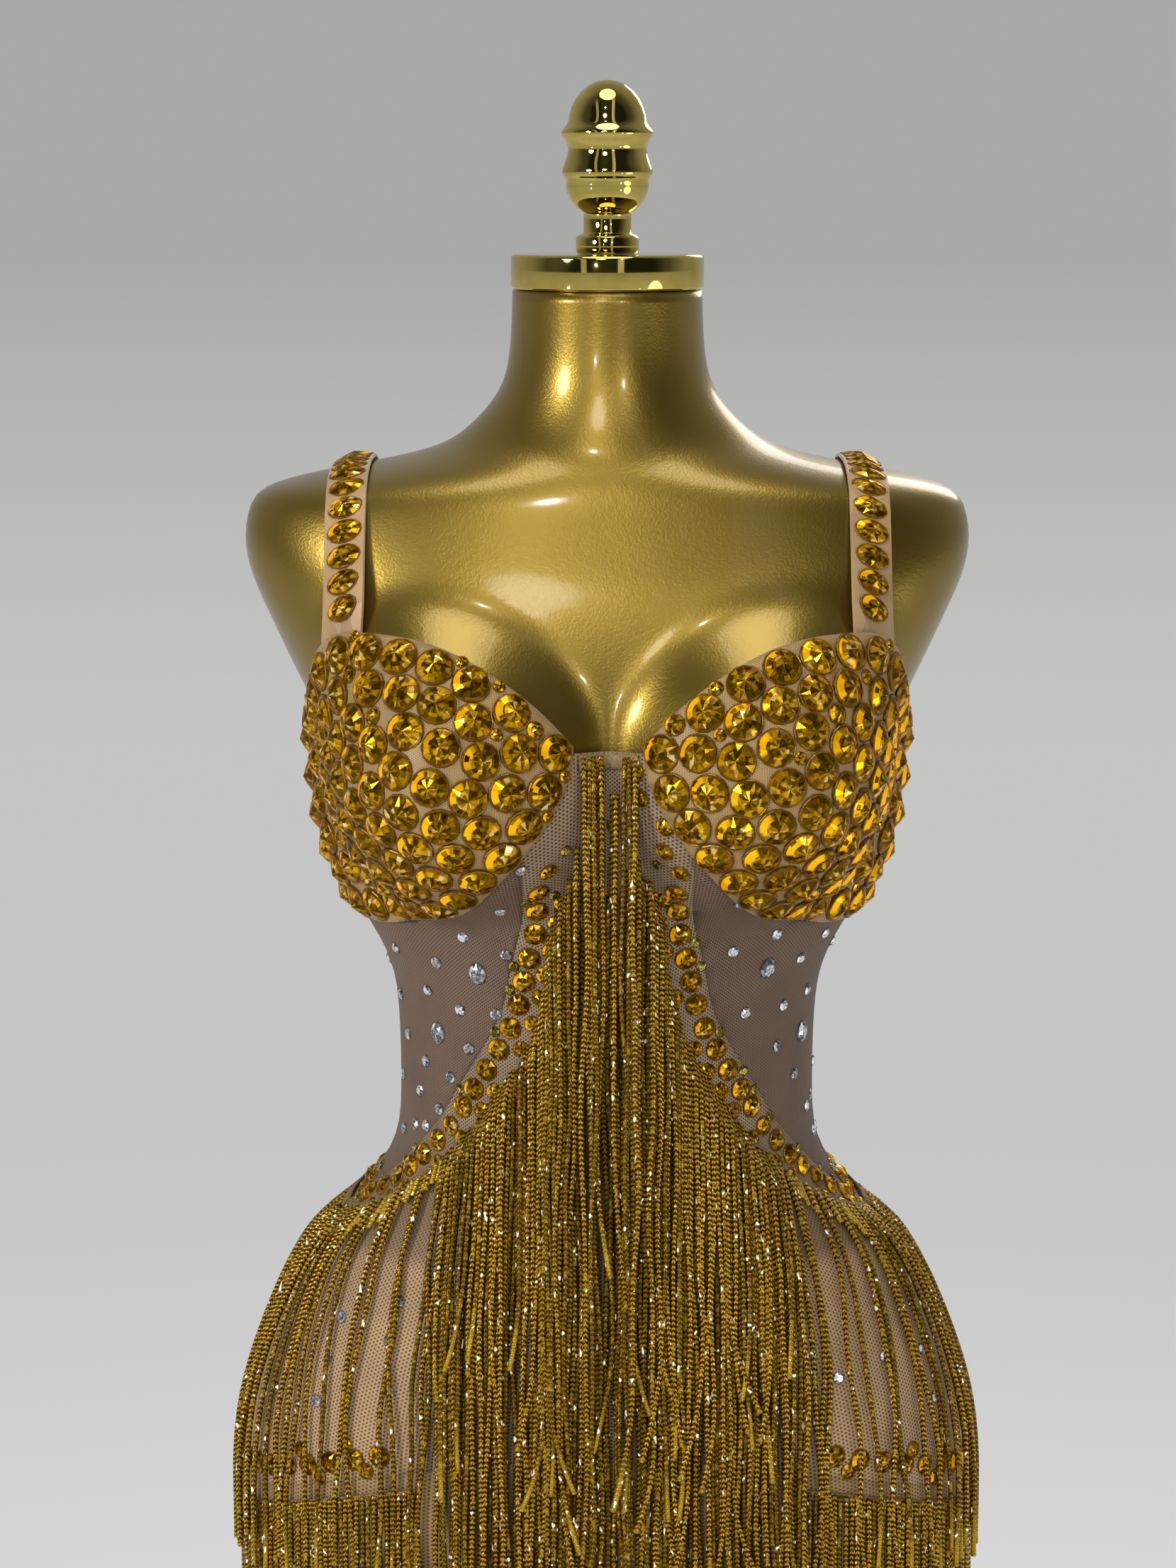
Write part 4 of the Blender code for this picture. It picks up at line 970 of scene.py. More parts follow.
BIG, LINE, OVAL = 0.0090, 0.0060, (0.0088, 0.0063)
SHRUNK, GROWN = 0.8, 1.15
print("raised on a cup:", len(raised_stones("cup_left", 8, SHRUNK * BIG, GROWN * BIG)))


# %% Setting stones
def stance(middle, up, sizes, long_way=None, lean=0.0, spin=0.0, sink=0.0002):
    """The matrix that puts a stone of unit radius in its place; a lean has its own bearing."""
    up = Vector(up)
    across = Vector(long_way) if long_way is not None else Vector((0, 0, 1)).cross(up)
    across = (across - up * across.dot(up)).normalized()
    if across.dot(Vector((0, 0, 1)).cross(up)) < 0:
        across = -across
    turn = Matrix((across, up.cross(across), up)).transposed().to_4x4()
    bearing = spin * 2.7
    tip = Matrix.Rotation(lean, 4, (math.cos(bearing), math.sin(bearing), 0))
    spun_round, size = Matrix.Rotation(spin, 4, "Z"), Matrix.Diagonal((*sizes, 1))
    return Matrix.Translation(Vector(middle) - up * sink) @ turn @ tip @ spun_round @ size


def set_stones(name, template, stances, glass, nodes=(), seed=1):
    """Copies of a stone, one for each stance, as one piece."""
    random = np.random.default_rng(seed)
    shape = bmesh.new()
    for matrix in stances:
        first, first_face = len(shape.verts), len(shape.faces)
        shape.from_mesh(template)
        shape.verts.ensure_lookup_table()
        shape.faces.ensure_lookup_table()
        bmesh.ops.transform(shape, matrix=matrix, verts=shape.verts[first:])
        layer, tone = shape.loops.layers.uv["facet"], random.random()
        for face in shape.faces[first_face:]:
            shade = random.random()
            for corner in face.loops:
                corner[layer].uv = (shade, tone)
    piece = finished(name, shape, glass, smooth=False, nodes=nodes)
    piece.data.materials.append(setting.material)
    return piece


on_panels = {"skirt_front": [], "skirt_back": []}
LEAN = 6
print("stones lean by up to", LEAN, "degrees")


# %% Small stones for the gaps on the cups
FILLERS = (0.0056, 0.0048, 0.0040, 0.0034)
TRIES, APART, INTO_LARGE, INTO_SMALL = 9000, 1.06, 0.0006, 0.0003


def fillers(loop, points, random):
    """Smaller stones for the gaps that the large ones leave, the largest first."""
    low, high = loop.min(0), loop.max(0)
    edge = skin(evenly(np.vstack([loop, loop[:1]]), 0.004), CUP_CLEAR + CUP_WALL)
    places = random.uniform(low, high, (TRIES, 2))
    ahead, height = np.roll(loop, -1, 0), places[:, None, 1]
    crosses = (loop[None, :, 1] > height) != (ahead[None, :, 1] > height)
    rise = np.where(crosses, ahead[None, :, 1] - loop[None, :, 1], 1)
    at = loop[None, :, 0] + (height - loop[None, :, 1]) * (ahead - loop)[None, :, 0] / rise
    places = places[(crosses & (places[:, None, 0] < at)).sum(1) % 2 == 1]
    lifted = skin(places, CUP_CLEAR + CUP_WALL)
    spare = np.linalg.norm(lifted[:, None] - points[None], axis=-1).min(1) - APART * BIG
    spare = np.minimum(spare, np.linalg.norm(lifted[:, None] - edge[None], axis=-1).min(1))
    chosen = []
    for radius in FILLERS:
        for k in np.nonzero(spare > radius - INTO_LARGE)[0]:
            if all(np.linalg.norm(lifted[k] - lifted[i]) > radius + other - INTO_SMALL
                   for i, other in chosen):
                chosen.append((k, radius))
    return [(lifted[k], facing(places[k]), radius) for k, radius in chosen]


BIG_SIZE, LEANS = (1.09 * BIG, 1.09 * BIG, 1.02 * BIG), (0, LEAN)
for side, word in ((1, "left"), (-1, "right")):
    random = np.random.default_rng(20 + side)
    found = raised_stones("cup_" + word, 8, SHRUNK * BIG, GROWN * BIG)
    stances = [stance(middle, up, BIG_SIZE, lean=math.radians(random.uniform(*LEANS)),
                      spin=random.uniform(0, 0.4)) for middle, up, _ in found]
    large = set_stones("cup_stones_" + word, pointed, stances, amber,
                       seed=30 + side)
    extra = fillers(cup_outline(side), np.array([middle for middle, _, _ in found]), random)
    stances = [stance(middle, up, (radius, radius, radius), spin=random.uniform(0, 0.5))
               for middle, up, radius in extra]
    small = set_stones("cup_fill_stones_" + word, pointed_small, stances, amber,
                       seed=34 + side)
    on_panels["cup_" + word] = [large, small]
    print("cup", word, "stones:", len(found), "and", len(extra))

# %% Stones along the seams
LINE_SIZE = (LINE, LINE, LINE * 0.95)
taken = []
for node, slot in (("front_centre", "front_net"), ("hip_left", "hip_mesh"),
                   ("hip_right", "hip_mesh"), ("hip_back", "hip_mesh")):
    random = np.random.default_rng(len(node))
    found = raised_stones(node, 6, SHRUNK * LINE, GROWN * LINE)
    stances = [stance(middle, up, LINE_SIZE, lean=math.radians(random.uniform(*LEANS)),
                      spin=random.uniform(0, 0.5)) for middle, up, _ in found]
    on_panels[node] = [set_stones("seam_stones_" + node, pointed_small, stances, amber,
                                  seed=40)]
    taken += [middle for middle, _, _ in found]
    print(node, "stones:", len(found))
taken = np.array(taken)

# %% [markdown]
# ## Shoulder straps
#
# Each strap is a tan satin ribbon under a row of oval stones. The solid already has the
# ribbon's exact run over the shoulder, with the stones raised in it. A copy of it gives
# both: the raised points say where the stones sit, and without them the ribbon is plain.

# %% Strap ribbon
ribbon = Finish("strap_ribbon", Sheen_Weight=0.3)
place = ribbon.place()
grain = ribbon.noise(place, 900.0, 1.0)
ribbon.feed({
    "Base Color": ribbon.ramp(ribbon.noise(place, 40.0, 3.0), (0.3, (0.37, 0.225, 0.100)),
                              (0.7, (0.50, 0.315, 0.150))),
    "Roughness": 0.36 + grain * 0.2,
})
ribbon.bump(grain, 0.0002, 0.4)
print(ribbon.material.name)

# %% Straps
OVAL_STEP, OVAL_SIZE = 0.0130, (0.0095, 0.0062, 0.0056)
FRONT_LAP, BACK_LAP, FRONT_END, BACK_END = (0.001, 0.0015, -0.010), 0.004, 0.004, 0.003
TILT_RISE, TILTS = 0.09, (0.34, 0.06)
POINT_OVER, POINT_NEAR = 0.002, 0.006
for side, word in ((1, "left"), (-1, "right")):
    node = "strap_" + word
    found = raised_stones(node, 8, 0.75 * OVAL[1], 1.2 * OVAL[0])
    shape = solid(node)
    seats = [(Vector(middle), Vector(up)) for middle, up, _ in found]
    points = [vert for vert in shape.verts if len(vert.link_edges) == 8 and any(
        (vert.co - middle).dot(up) > POINT_OVER and (vert.co - middle).length < POINT_NEAR
        for middle, up in seats)]
    bmesh.ops.dissolve_verts(shape, verts=points)
    bmesh.ops.triangulate(shape, faces=[face for face in shape.faces if len(face.verts) > 4])
    bmesh.ops.recalc_face_normals(shape, faces=shape.faces)
    foot = min(vert.co.z for vert in shape.verts if vert.co.y < 0)
    for vert in shape.verts:
        if vert.co.y < 0 and vert.co.z < foot + FRONT_END:
            vert.co += Vector((FRONT_LAP[0] * side, *FRONT_LAP[1:]))
    back_foot = min(vert.co.z for vert in shape.verts if vert.co.y > 0)
    for vert in shape.verts:
        if vert.co.y > 0 and vert.co.z < back_foot + BACK_END:
            vert.co.z -= BACK_LAP
    finished("strap_ribbon_" + word, shape, ribbon, smooth=False, nodes=[node])
    found.sort(key=lambda item: item[0][1])
    middles, ups = (np.array([item[c] for item in found]) for c in (0, 1))
    rows = evenly(middles, OVAL_STEP)
    stances = []
    for row, distances in zip(rows, np.linalg.norm(rows[:, None] - middles[None], axis=-1)):
        share = 1 / (distances + 1e-4) ** 2
        up = (ups * share[:, None]).sum(0)
        tilt = np.interp(row[2], (foot, foot + TILT_RISE), TILTS) if row[1] < 0 else 0.0
        stances.append(stance(row, up / np.linalg.norm(up), OVAL_SIZE, (1, 0, -side * tilt)))
    set_stones("strap_stones_" + word, pointed, stances, amber,
               seed=50 + side)
    print(node, "stones:", len(rows))
# %% [markdown]
# ## Small stones scattered on the mesh
#
# Clear flat-backed stones are dotted over the waist and the hips. They were glued by eye,
# so each has its own row here, and the two sides differ a little, as on the real dress.
# The amber and olive ones at the middle and at the side seams have rows too.

# %% Clear stones
CLEAR_STONES = (
    # turn in degrees, height, and where it isn't 6 by 6: width in mm, height in mm
    (-33.7, 1.160), (-45.3, 1.144), (-24.0, 1.152), (-33.0, 1.141, 9, 11), (-52.5, 1.127),
    (-40.9, 1.120), (-29.8, 1.120), (-50.0, 1.105, 9, 11), (-38.8, 1.100), (-56.4, 1.088),
    (-45.6, 1.083), (-60.4, 1.071), (-50.3, 1.065), (-62.9, 1.052), (-56.4, 1.054),
    (-60.4, 1.036, 5, 5), (-17.1, 1.210), (-22.2, 1.183), (-61.9, 1.147), (-72.0, 1.118),
    (-68.0, 1.098), (-75.0, 1.074), (-72.0, 1.046), (-79.0, 1.135),
    (26.1, 1.192), (40.6, 1.160), (30.1, 1.153), (42.0, 1.142, 9, 11), (53.9, 1.144),
    (65.1, 1.123), (52.1, 1.119), (38.0, 1.119), (64.0, 1.101, 9, 11), (50.7, 1.098),
    (80.2, 1.079), (60.0, 1.080), (75.6, 1.063), (69.8, 1.059), (82.1, 1.043),
    (76.6, 1.043), (61.1, 1.155), (74.8, 1.146),
    (-40.9, 0.969), (-40.2, 0.949), (-37.3, 0.924), (-53.6, 0.955), (-53.2, 0.934),
    (-52.8, 0.912), (-65.1, 0.953), (-66.2, 0.929), (-68.3, 0.909), (-28.0, 0.967, 5, 5),
    (-25.8, 0.941, 5, 5), (52.8, 0.935), (40.6, 0.930), (52.5, 0.912), (51.0, 0.891),
    (65.8, 0.906), (67.3, 0.883), (66.5, 0.931), (35.5, 0.907), (29.8, 0.953, 5, 5),
    (104, 1.150), (118, 1.128, 9, 11), (131, 1.165), (146, 1.140), (160, 1.170, 9, 11),
    (174, 1.132), (110, 1.095), (126, 1.082), (141, 1.104), (156, 1.088),
    (168, 1.108), (-98, 1.140), (-111, 1.162), (-124, 1.136, 9, 11), (-138, 1.158),
    (-152, 1.128), (-166, 1.150), (-104, 1.088), (-118, 1.104), (-133, 1.090),
    (-148, 1.078, 9, 11), (-162, 1.096), (-176, 1.084),
    (100, 0.960), (112, 0.925), (124, 0.965), (137, 0.930), (150, 0.970),
    (163, 0.935), (176, 0.968), (-101, 0.930), (-113, 0.962), (-126, 0.928),
    (-139, 0.966), (-152, 0.932), (-165, 0.964),
)
print("clear stones:", len(CLEAR_STONES))


# %% Amber and olive stones
def both_sides(*rows):
    return tuple((side * turn, *rest) for side in (1, -1) for turn, *rest in rows)


AMBER_STONES = (
    # turn in degrees, height, width in mm, height in mm
    (-9.6, 1.181, 9, 9), (-12.6, 1.205, 10, 10), (-12.4, 1.194, 10, 10), (-8.6, 1.171, 8, 8),
    (-10.4, 1.158, 9, 9), (6.9, 1.249, 10, 10), (7.9, 1.238, 9, 9), (12.0, 1.228, 10, 10),
    (12.0, 1.216, 10, 10), (14.9, 1.2065, 10, 10), (14.3, 1.194, 10, 10), (11.8, 1.184, 9, 9),
    (11.8, 1.160, 8, 8),
) + both_sides((86.1, 1.0045, 9, 9)) + both_sides(
    (82.4, 1.0065, 9, 9), (86.2, 1.0125, 10, 10), (89.9, 1.0055, 9, 9), (86.6, 0.9975, 8, 8),
    (78.4, 1.0025, 8, 8),
)
OLIVE_STONES = (
    (-9.4, 1.214, 7, 7), (-11.2, 1.187), (10.6, 1.207), (14.4, 1.184), (0.6, 1.222),
    (-11.0, 1.150), (11.4, 1.150), (2.7, 1.148, 4, 4), (4.1, 1.136, 4, 4), (3.8, 1.018, 4, 4),
) + both_sides(
    (84.4, 1.0175), (88.3, 1.0185), (84.6, 1.0010), (91.8, 1.0130), (80.3, 1.0000),
) + (
    (-68.4, 0.976, 5, 5), (-60.2, 0.980, 5, 5), (66.8, 0.978, 5, 5), (58.4, 0.974, 5, 5),
)
print("amber and olive stones:", len(AMBER_STONES), len(OLIVE_STONES))


# %% Setting the scattered stones
USUAL, OVERLAP = (6, 6), 0.70


def scattered(name, rows, template, glass, taken, seed, grow=1.0):
    """Small stones at the rows' places, left out where a larger stone already sits."""
    random = np.random.default_rng(seed)
    stances = []
    for turn, height, *size in rows:
        width, tall = size or USUAL
        place = np.array([math.radians(turn) * ROUND, height])
        point = skin(place, CLEAR + CLOTH + float(tension(place[None])[0]))
        room_for_both = OVERLAP * (LINE + width * MILLIMETRE / 2)
        if len(taken) and np.linalg.norm(taken - point, axis=1).min() < room_for_both:
            continue
        sizes = tuple(grow * (wide / 2 * MILLIMETRE) for wide in (width, tall, width))
        spin = random.uniform(0, 0.8) if width == tall else 0.0
        stances.append(stance(point, facing(place), sizes, spin=spin))
    return set_stones(name, template, stances, glass, seed=seed)


scattered("clear_stones", CLEAR_STONES, flat_back, crystal, taken, 60, grow=1.12)

# %% [markdown]
# ## Second rows beside the seams
#
# Beside the stones that line the seam stands a second row of smaller amber ones, and an
# outer row of olive ones. Each sits in the notch between two stones of the line, so their
# places are worked out from it: the seam is moved sideways by a real distance, and the
# point of it that is nearest to the notch is taken.


# %% A line moved sideways on the figure
def slopes(places, out):
    """How the lifted surface moves for each flat metre, across and up."""
    near = 1e-4
    return [(skin(places + step, out) - skin(places - step, out)) / (2 * near)
            for step in (np.array([near, 0]), np.array([0, near]))]


def beside(line, distance):
    """A line on the figure moved a real distance to its right-hand side."""
    along = np.gradient(skin(line, CLEAR), axis=0)
    along /= np.linalg.norm(along, axis=1)[:, None]
    across, up = slopes(line, CLEAR)
    move = np.cross(along, facing(line)) * distance
    aa, bb, ab = (across ** 2).sum(-1), (up ** 2).sum(-1), (across * up).sum(-1)
    ma, mb = (move * across).sum(-1), (move * up).sum(-1)
    turned = np.stack([ma * bb - mb * ab, mb * aa - ma * ab], -1)
    return line + turned / (aa * bb - ab ** 2)[:, None]


print("beside() moves a line by a real distance")

# %% Rows in the notches
NEXT_STONE, MISSING_STONE = 0.030, 0.018


def beside_row(line, points, distance, share, size, random):
    """Rows for stones beside a seam, each in the notch between two of the stones that line it."""
    flat_line = evenly(beside(line, distance), 0.0008)
    lifted = skin(flat_line, CLEAR + CLOTH)
    rows = []
    points = points[np.argsort(-points[:, 2])]
    for first, second in zip(points, points[1:]):
        if np.linalg.norm(second - first) > NEXT_STONE or random.random() > share:
            continue
        at = flat_line[np.linalg.norm(lifted - (first + second) / 2, axis=1).argmin()]
        rows.append((math.degrees(at[0] / ROUND), at[1], size, size))
    return rows


random = np.random.default_rng(64)
second_rows, outer_rows = list(AMBER_STONES), list(OLIVE_STONES)
NOTCHES = (
    # rows, distance from the seam, share of the notches, size in mm
    (second_rows, 0.0172, 0.85, 9), (outer_rows, 0.0014, 0.62, 6),
)
ON_THE_LINE, LARGER = 0.0078, 10.5
for side in (1, -1):
    on_side = (taken[:, 0] * side > 0) & (taken[:, 1] < 0.02) & (taken[:, 2] > 0.99)
    points = taken[on_side] * (side, 1, 1)
    points = points[np.argsort(-points[:, 2])]
    wide = np.linalg.norm(np.diff(points, axis=0), axis=1)
    for k in np.nonzero((wide > MISSING_STONE) & (wide < NEXT_STONE))[0]:
        found = beside_row(stone_seam, points[k:k + 2], ON_THE_LINE, 1.0, LARGER, random)
        second_rows += [(side * turn, *rest) for turn, *rest in found]
    for rows, *how in NOTCHES:
        found = beside_row(stone_seam, points, *how, random)
        rows += [(side * turn, *rest) for turn, *rest in found]
print("second and outer rows:", len(second_rows), len(outer_rows))

# %% The row along the hip seam
HIP_SHARE, HIP_UP, HIP_DOWN, HIP_SIZE = 0.8, 0.0080, 0.0068, 9
hip_row = taken[(taken[:, 1] < 0.02) & (taken[:, 2] < 0.95)]
hip_row = hip_row[np.argsort(hip_row[:, 0])]
seam = hip_seam(-SIDE, SIDE, 0.0008)
for k, (first, second) in enumerate(zip(hip_row, hip_row[1:])):
    if np.linalg.norm(second - first) < NEXT_STONE and random.random() < HIP_SHARE:
        middle = (first + second) / 2
        at = seam[np.abs(skin(seam, CLEAR)[:, 0] - middle[0]).argmin()]
        height = middle[2] + (HIP_UP if k % 2 else -HIP_DOWN)
        second_rows.append((math.degrees(at[0] / ROUND), height, HIP_SIZE, HIP_SIZE))
scattered("olive_stones", outer_rows, flat_back, olive, taken, 61)
scattered("amber_stones", second_rows, pointed_small, amber, taken, 62)
# %% [markdown]
# ## The fringe
#
# The fringe is a soft braided cord of gold metallic yarn with specks of silver in it. The
# specks are painted as glints that glow a little, and the braid carries painted shade in
# its hollows and painted highlights on its loops. It can't be simulated cheaply in hundreds
# of pieces, but its path is simple. From the band it follows the body the steepest way
# down, and where the body falls away it hangs plumb. hang() works that out, with the same
# roots and drops as the solids, and then each cord gets a little sway of its own.

# %% Metallic yarn
# The yarn's emission lights only its specks, as painted glints.
yarn = Finish("metallic_thread", Metallic=0.72, Emission_Strength=0.6)
braid = yarn.parts(yarn.node("ShaderNodeAttribute", {"attribute_name": "braid"}, output="Vector"))
own = yarn.parts(yarn.node("ShaderNodeAttribute", {"attribute_name": "cord"}, output="Vector"))
LOOP = 0.0026
sideways = abs(braid[1] * 0.866 - braid[0] * 0.5)
uneven = yarn.noise(yarn.place(), 330.0, 2.0)
chain = yarn.maths_of("SINE", (braid[2] + uneven * 0.0016) * (2 * math.pi / LOOP) - sideways * 2.6)
raised_loops = yarn.smooth(chain, -0.9, 0.8) * (0.55 + 0.45 * yarn.smooth(sideways, 0.04, 0.25))
along = yarn.node("ShaderNodeCombineXYZ", None, {
    0: own[1] * 90.0 + braid[0] * 0.55, 1: braid[1] * 0.55, 2: braid[2] * 300.0})
specks_and_glints = yarn.smooth(yarn.noise(along, 1.0, 0.0), 0.775, 0.79)
# The colour follows the loops' height: painted shade in the hollows between loops, and a painted
# highlight on their tops.
gold = yarn.ramp(raised_loops, (0.0, (0.045, 0.018, 0.0006)), (0.5, (0.36, 0.188, 0.005)),
                 (1.0, (0.82, 0.48, 0.026)))
toned = yarn.blend(yarn.smooth(own[1], 0.2, 1.0) * 0.65, gold, (0.12, 0.060, 0.002))
patchy = yarn.blend(yarn.smooth(uneven, 0.52, 0.70) * 0.5, toned, (0.95, 0.62, 0.06))
ends = (1 - yarn.smooth(own[0], 0.004, 0.034)) * yarn.smooth(own[1], 0.45, 0.55)
frayed = yarn.maths_of("MAXIMUM", ends * 0.55, (1 - yarn.smooth(own[0], 0.0, 0.004)) * 0.7)
tipped = yarn.blend(frayed, patchy, (1.0, 0.66, 0.05))
yarn.feed({
    # The specks are silver in the yarn; their white colour and their emission are painted glints
    # that glow.
    "Base Color": yarn.blend(specks_and_glints, tipped, (1.0, 0.98, 0.92)),
    "Roughness": 0.40 - specks_and_glints * 0.25,
    "Emission Color": yarn.blend(specks_and_glints, (0.0, 0.0, 0.0), (1.0, 0.98, 0.93)),
})
yarn.bump(raised_loops, 0.0007, 0.9)
print("yarn is ready")

# %% Woven band
tape_finish = Finish("fringe_band", Metallic=0.1, Roughness=0.6)
tape_place = tape_finish.place()
tape_finish.feed({"Base Color": tape_finish.ramp(
    tape_finish.noise(tape_place, 700.0, 2.0),
    (0.35, (0.16, 0.100, 0.040)), (0.65, (0.32, 0.21, 0.09)))})
tape_finish.bump(tape_finish.noise(tape_place, 900.0, 1.0), 0.0005, 0.8)
print(tape_finish.material.name)

# %% Falling over the figure
OVER_OFF, UNDER_OFF = 0.0060, 0.0012
TAPE_HEIGHT, TAPE_DEPTH, TAPE_OFF, TAPE_WALL = 0.0046, 0.0018, 0.0008, 0.0012
STONES_OFF, STONE_ACROSS, TAPE_GAP = 0.0078, 0.0120, 0.0030
BELOW_STONES = STONES_OFF + STONE_ACROSS / 2 + TAPE_HEIGHT + TAPE_GAP
FRINGE_TOP, NECK_TAPE = 1.166, NECKLINE - 0.0075
CORD_RADIUS, CORD_STEP = 0.00135, 0.0050
OVER_BAND = TAPE_OFF + TAPE_DEPTH + 0.0004


def section_facing(points):
    """The bearing that the level section faces at each point, leaving out the bust."""
    width, front, back = (np.interp(points[..., 2], SECTIONS[:, 0], column)
                          for column in SECTIONS.T[1:4])
    depth = np.where(points[..., 1] < 0, front, back)
    return np.arctan2(points[..., 0] / width ** 2, -points[..., 1] / depth ** 2)


def hang(roots, out, drop, samples=48):
    """Paths of threads from flat places: fall, bearing, distance and facing at each sample."""
    falls = np.linspace(0, 1, samples)[None, :] * np.asarray(drop)[:, None]
    turn, trail = roots[:, 0] / ROUND, []
    for k in range(samples):
        places = np.stack([turn * ROUND, roots[:, 1] - falls[:, k]], 1)
        trail.append(skin(places, out))
        across, up = slopes(places, out)
        down = falls[:, min(k + 1, samples - 1)] - falls[:, k]
        flat_up, flat_across = up[:, :2], across[:, :2] * ROUND
        turn = turn + (flat_up * flat_across).sum(1) / (flat_across ** 2).sum(1) * down
    trail = np.stack(trail, 1)
    reach = np.hypot(trail[..., 0], trail[..., 1])
    bearing = np.unwrap(np.arctan2(trail[..., 0], -trail[..., 1]), axis=1)
    towards = np.unwrap(section_facing(trail), axis=1)
    paths = []
    for fall, *state in zip(trail[:, :1, 2] - trail[..., 2], bearing, reach, towards):
        state = np.array(state)
        held, far, taut = 0, state[1], state.copy()
        while held < samples - 1:
            slope = (far[held + 1:] - far[held]) / (fall[held + 1:] - fall[held])
            if slope.max() <= 0:
                taut[:, held:] = state[:, held:held + 1]
                break
            touch = held + 1 + int(slope.argmax())
            share = np.linspace(0, 1, touch - held + 1)
            slack = (state[:, touch] - state[:, held])[:, None]
            taut[:, held:touch + 1] = state[:, held:held + 1] + share * slack
            held = touch
        paths.append((fall, *taut))
    return paths


print("a thread from the stone line starts", round(BELOW_STONES, 4), "m below the seam")

# %% Roots and paths of cords
LOOSE_AFTER, SWAYS_AFTER, TAIL, TAIL_LIFT = 0.016, 0.12, 0.055, 0.35
SLOW_WAVES, QUICK_WAVES = (16, 26), (44, 70)


def roots(line, pitch):
    """The foot of a fringe band along a line, at an even spacing round the figure."""
    line = line[np.argsort(line[:, 0])]
    at = np.linspace(line[0, 0], line[-1, 0], 1 + round((line[-1, 0] - line[0, 0]) / pitch))
    return np.stack([at, np.interp(at, line[:, 0], line[:, 1])], 1)


def fallen(places, drops, off, seed, sway=0.0014, kicks=0.0):
    """The paths of cords from their roots: off the cloth by off, with sway and kicked ends."""
    random = np.random.default_rng(seed)
    cloth, count = CLEAR + CLOTH, len(places)
    off, kicks = np.broadcast_to(off, count), np.broadcast_to(kicks, count)
    tops = skin(places, cloth)[:, 2]
    paths = []
    for top, drop, away, kick, (fall, *line) in zip(tops, drops, off, kicks,
                                                    hang(places, cloth, drops)):
        depth = np.linspace(0, drop, max(8, round(drop / CORD_STEP)))
        way, far, towards = (np.interp(depth, fall, values) for values in line)
        loose = np.clip(depth / LOOSE_AFTER, 0, 1)
        out = OVER_BAND + (away - OVER_BAND) * loose * loose * (3 - 2 * loose)
        phase = random.uniform(0, 2 * math.pi, 2)
        slow = np.sin(depth * random.uniform(*SLOW_WAVES) + phase[0])
        quick = np.sin(depth * random.uniform(*QUICK_WAVES) + phase[1])
        drift = (slow + 0.5 * quick) * (sway * np.clip(depth / SWAYS_AFTER, 0, 1))
        tail = np.clip((depth - drop) / TAIL + 1, 0, 1)
        drift = drift + kick * tail ** 2
        out = out + abs(kick) * TAIL_LIFT * tail ** 2
        outward = np.stack([np.sin(towards), -np.cos(towards), 0 * depth], 1)
        sideways = np.stack([np.cos(towards), np.sin(towards), 0 * depth], 1)
        paths.append(np.stack([far * np.sin(way), -far * np.cos(way), top - depth], 1)
                     + outward * out[:, None] + sideways * drift[:, None])
    return paths


print("cords have a point every", CORD_STEP, "m")


# %% From paths to braided cords
AROUND, CLOSED_END = 6, (0, 0, 0.0002)


def corded(name, paths, nodes, seed, radius=CORD_RADIUS):
    """Round cords along paths, as one mesh. Each point knows its place round and along its cord."""
    random = np.random.default_rng(seed)
    angle = 2 * math.pi * np.arange(AROUND) / AROUND
    ring = np.stack([np.cos(angle), np.sin(angle)], 1)
    guide = bpy.data.curves.new(name, "CURVE")
    guide.dimensions, guide.bevel_depth, guide.bevel_resolution = "3D", 1.0, 1
    braids, cords = [], []
    for path in paths:
        path = np.vstack([path[:1] + CLOSED_END, path, path[-1:] - CLOSED_END])
        size = radius * random.uniform(0.88, 1.12) * np.ones(len(path))
        size[-2] *= 1.12
        size[0] = size[-1] = 0
        line = guide.splines.new("POLY")
        line.points.add(len(path) - 1)
        line.points.foreach_set("co", np.column_stack([path, np.ones(len(path))]).ravel())
        line.points.foreach_set("radius", size)
        along = np.concatenate([[0], np.cumsum(np.linalg.norm(np.diff(path, axis=0), axis=1))])
        offset, tone = random.uniform(0, LOOP), random.random()
        braids.append(np.column_stack([np.tile(ring, (len(path), 1)),
                                       np.repeat(along + offset, AROUND)]))
        cords.append(np.column_stack([np.repeat(along[-1] - along, AROUND),
                                      np.full((len(path) * AROUND, 2), (tone, 0.0))]))
    holder = bpy.data.objects.new(name, guide)
    bpy.context.scene.collection.objects.link(holder)
    evaluated = holder.evaluated_get(bpy.context.evaluated_depsgraph_get())
    mesh = bpy.data.meshes.new_from_object(evaluated)
    bpy.data.objects.remove(holder)
    for word, values in (("braid", braids), ("cord", cords)):
        layer = mesh.attributes.new(word, "FLOAT_VECTOR", "POINT")
        layer.data.foreach_set("vector", np.vstack(values).ravel())
    shape = bmesh.new()
    shape.from_mesh(mesh)
    tips = [vert for vert in shape.verts if len(vert.link_edges) < 5
            and min(edge.calc_length() for edge in vert.link_edges) < SAME]
    bmesh.ops.remove_doubles(shape, verts=tips, dist=SAME)
    bmesh.ops.recalc_face_normals(shape, faces=shape.faces)
    bpy.data.meshes.remove(mesh)
    return finished(name, shape, yarn, nodes=nodes)


print("each cord is", AROUND, "sided")


# %% The bands that fringe hangs from
BAND_STEP = 0.004


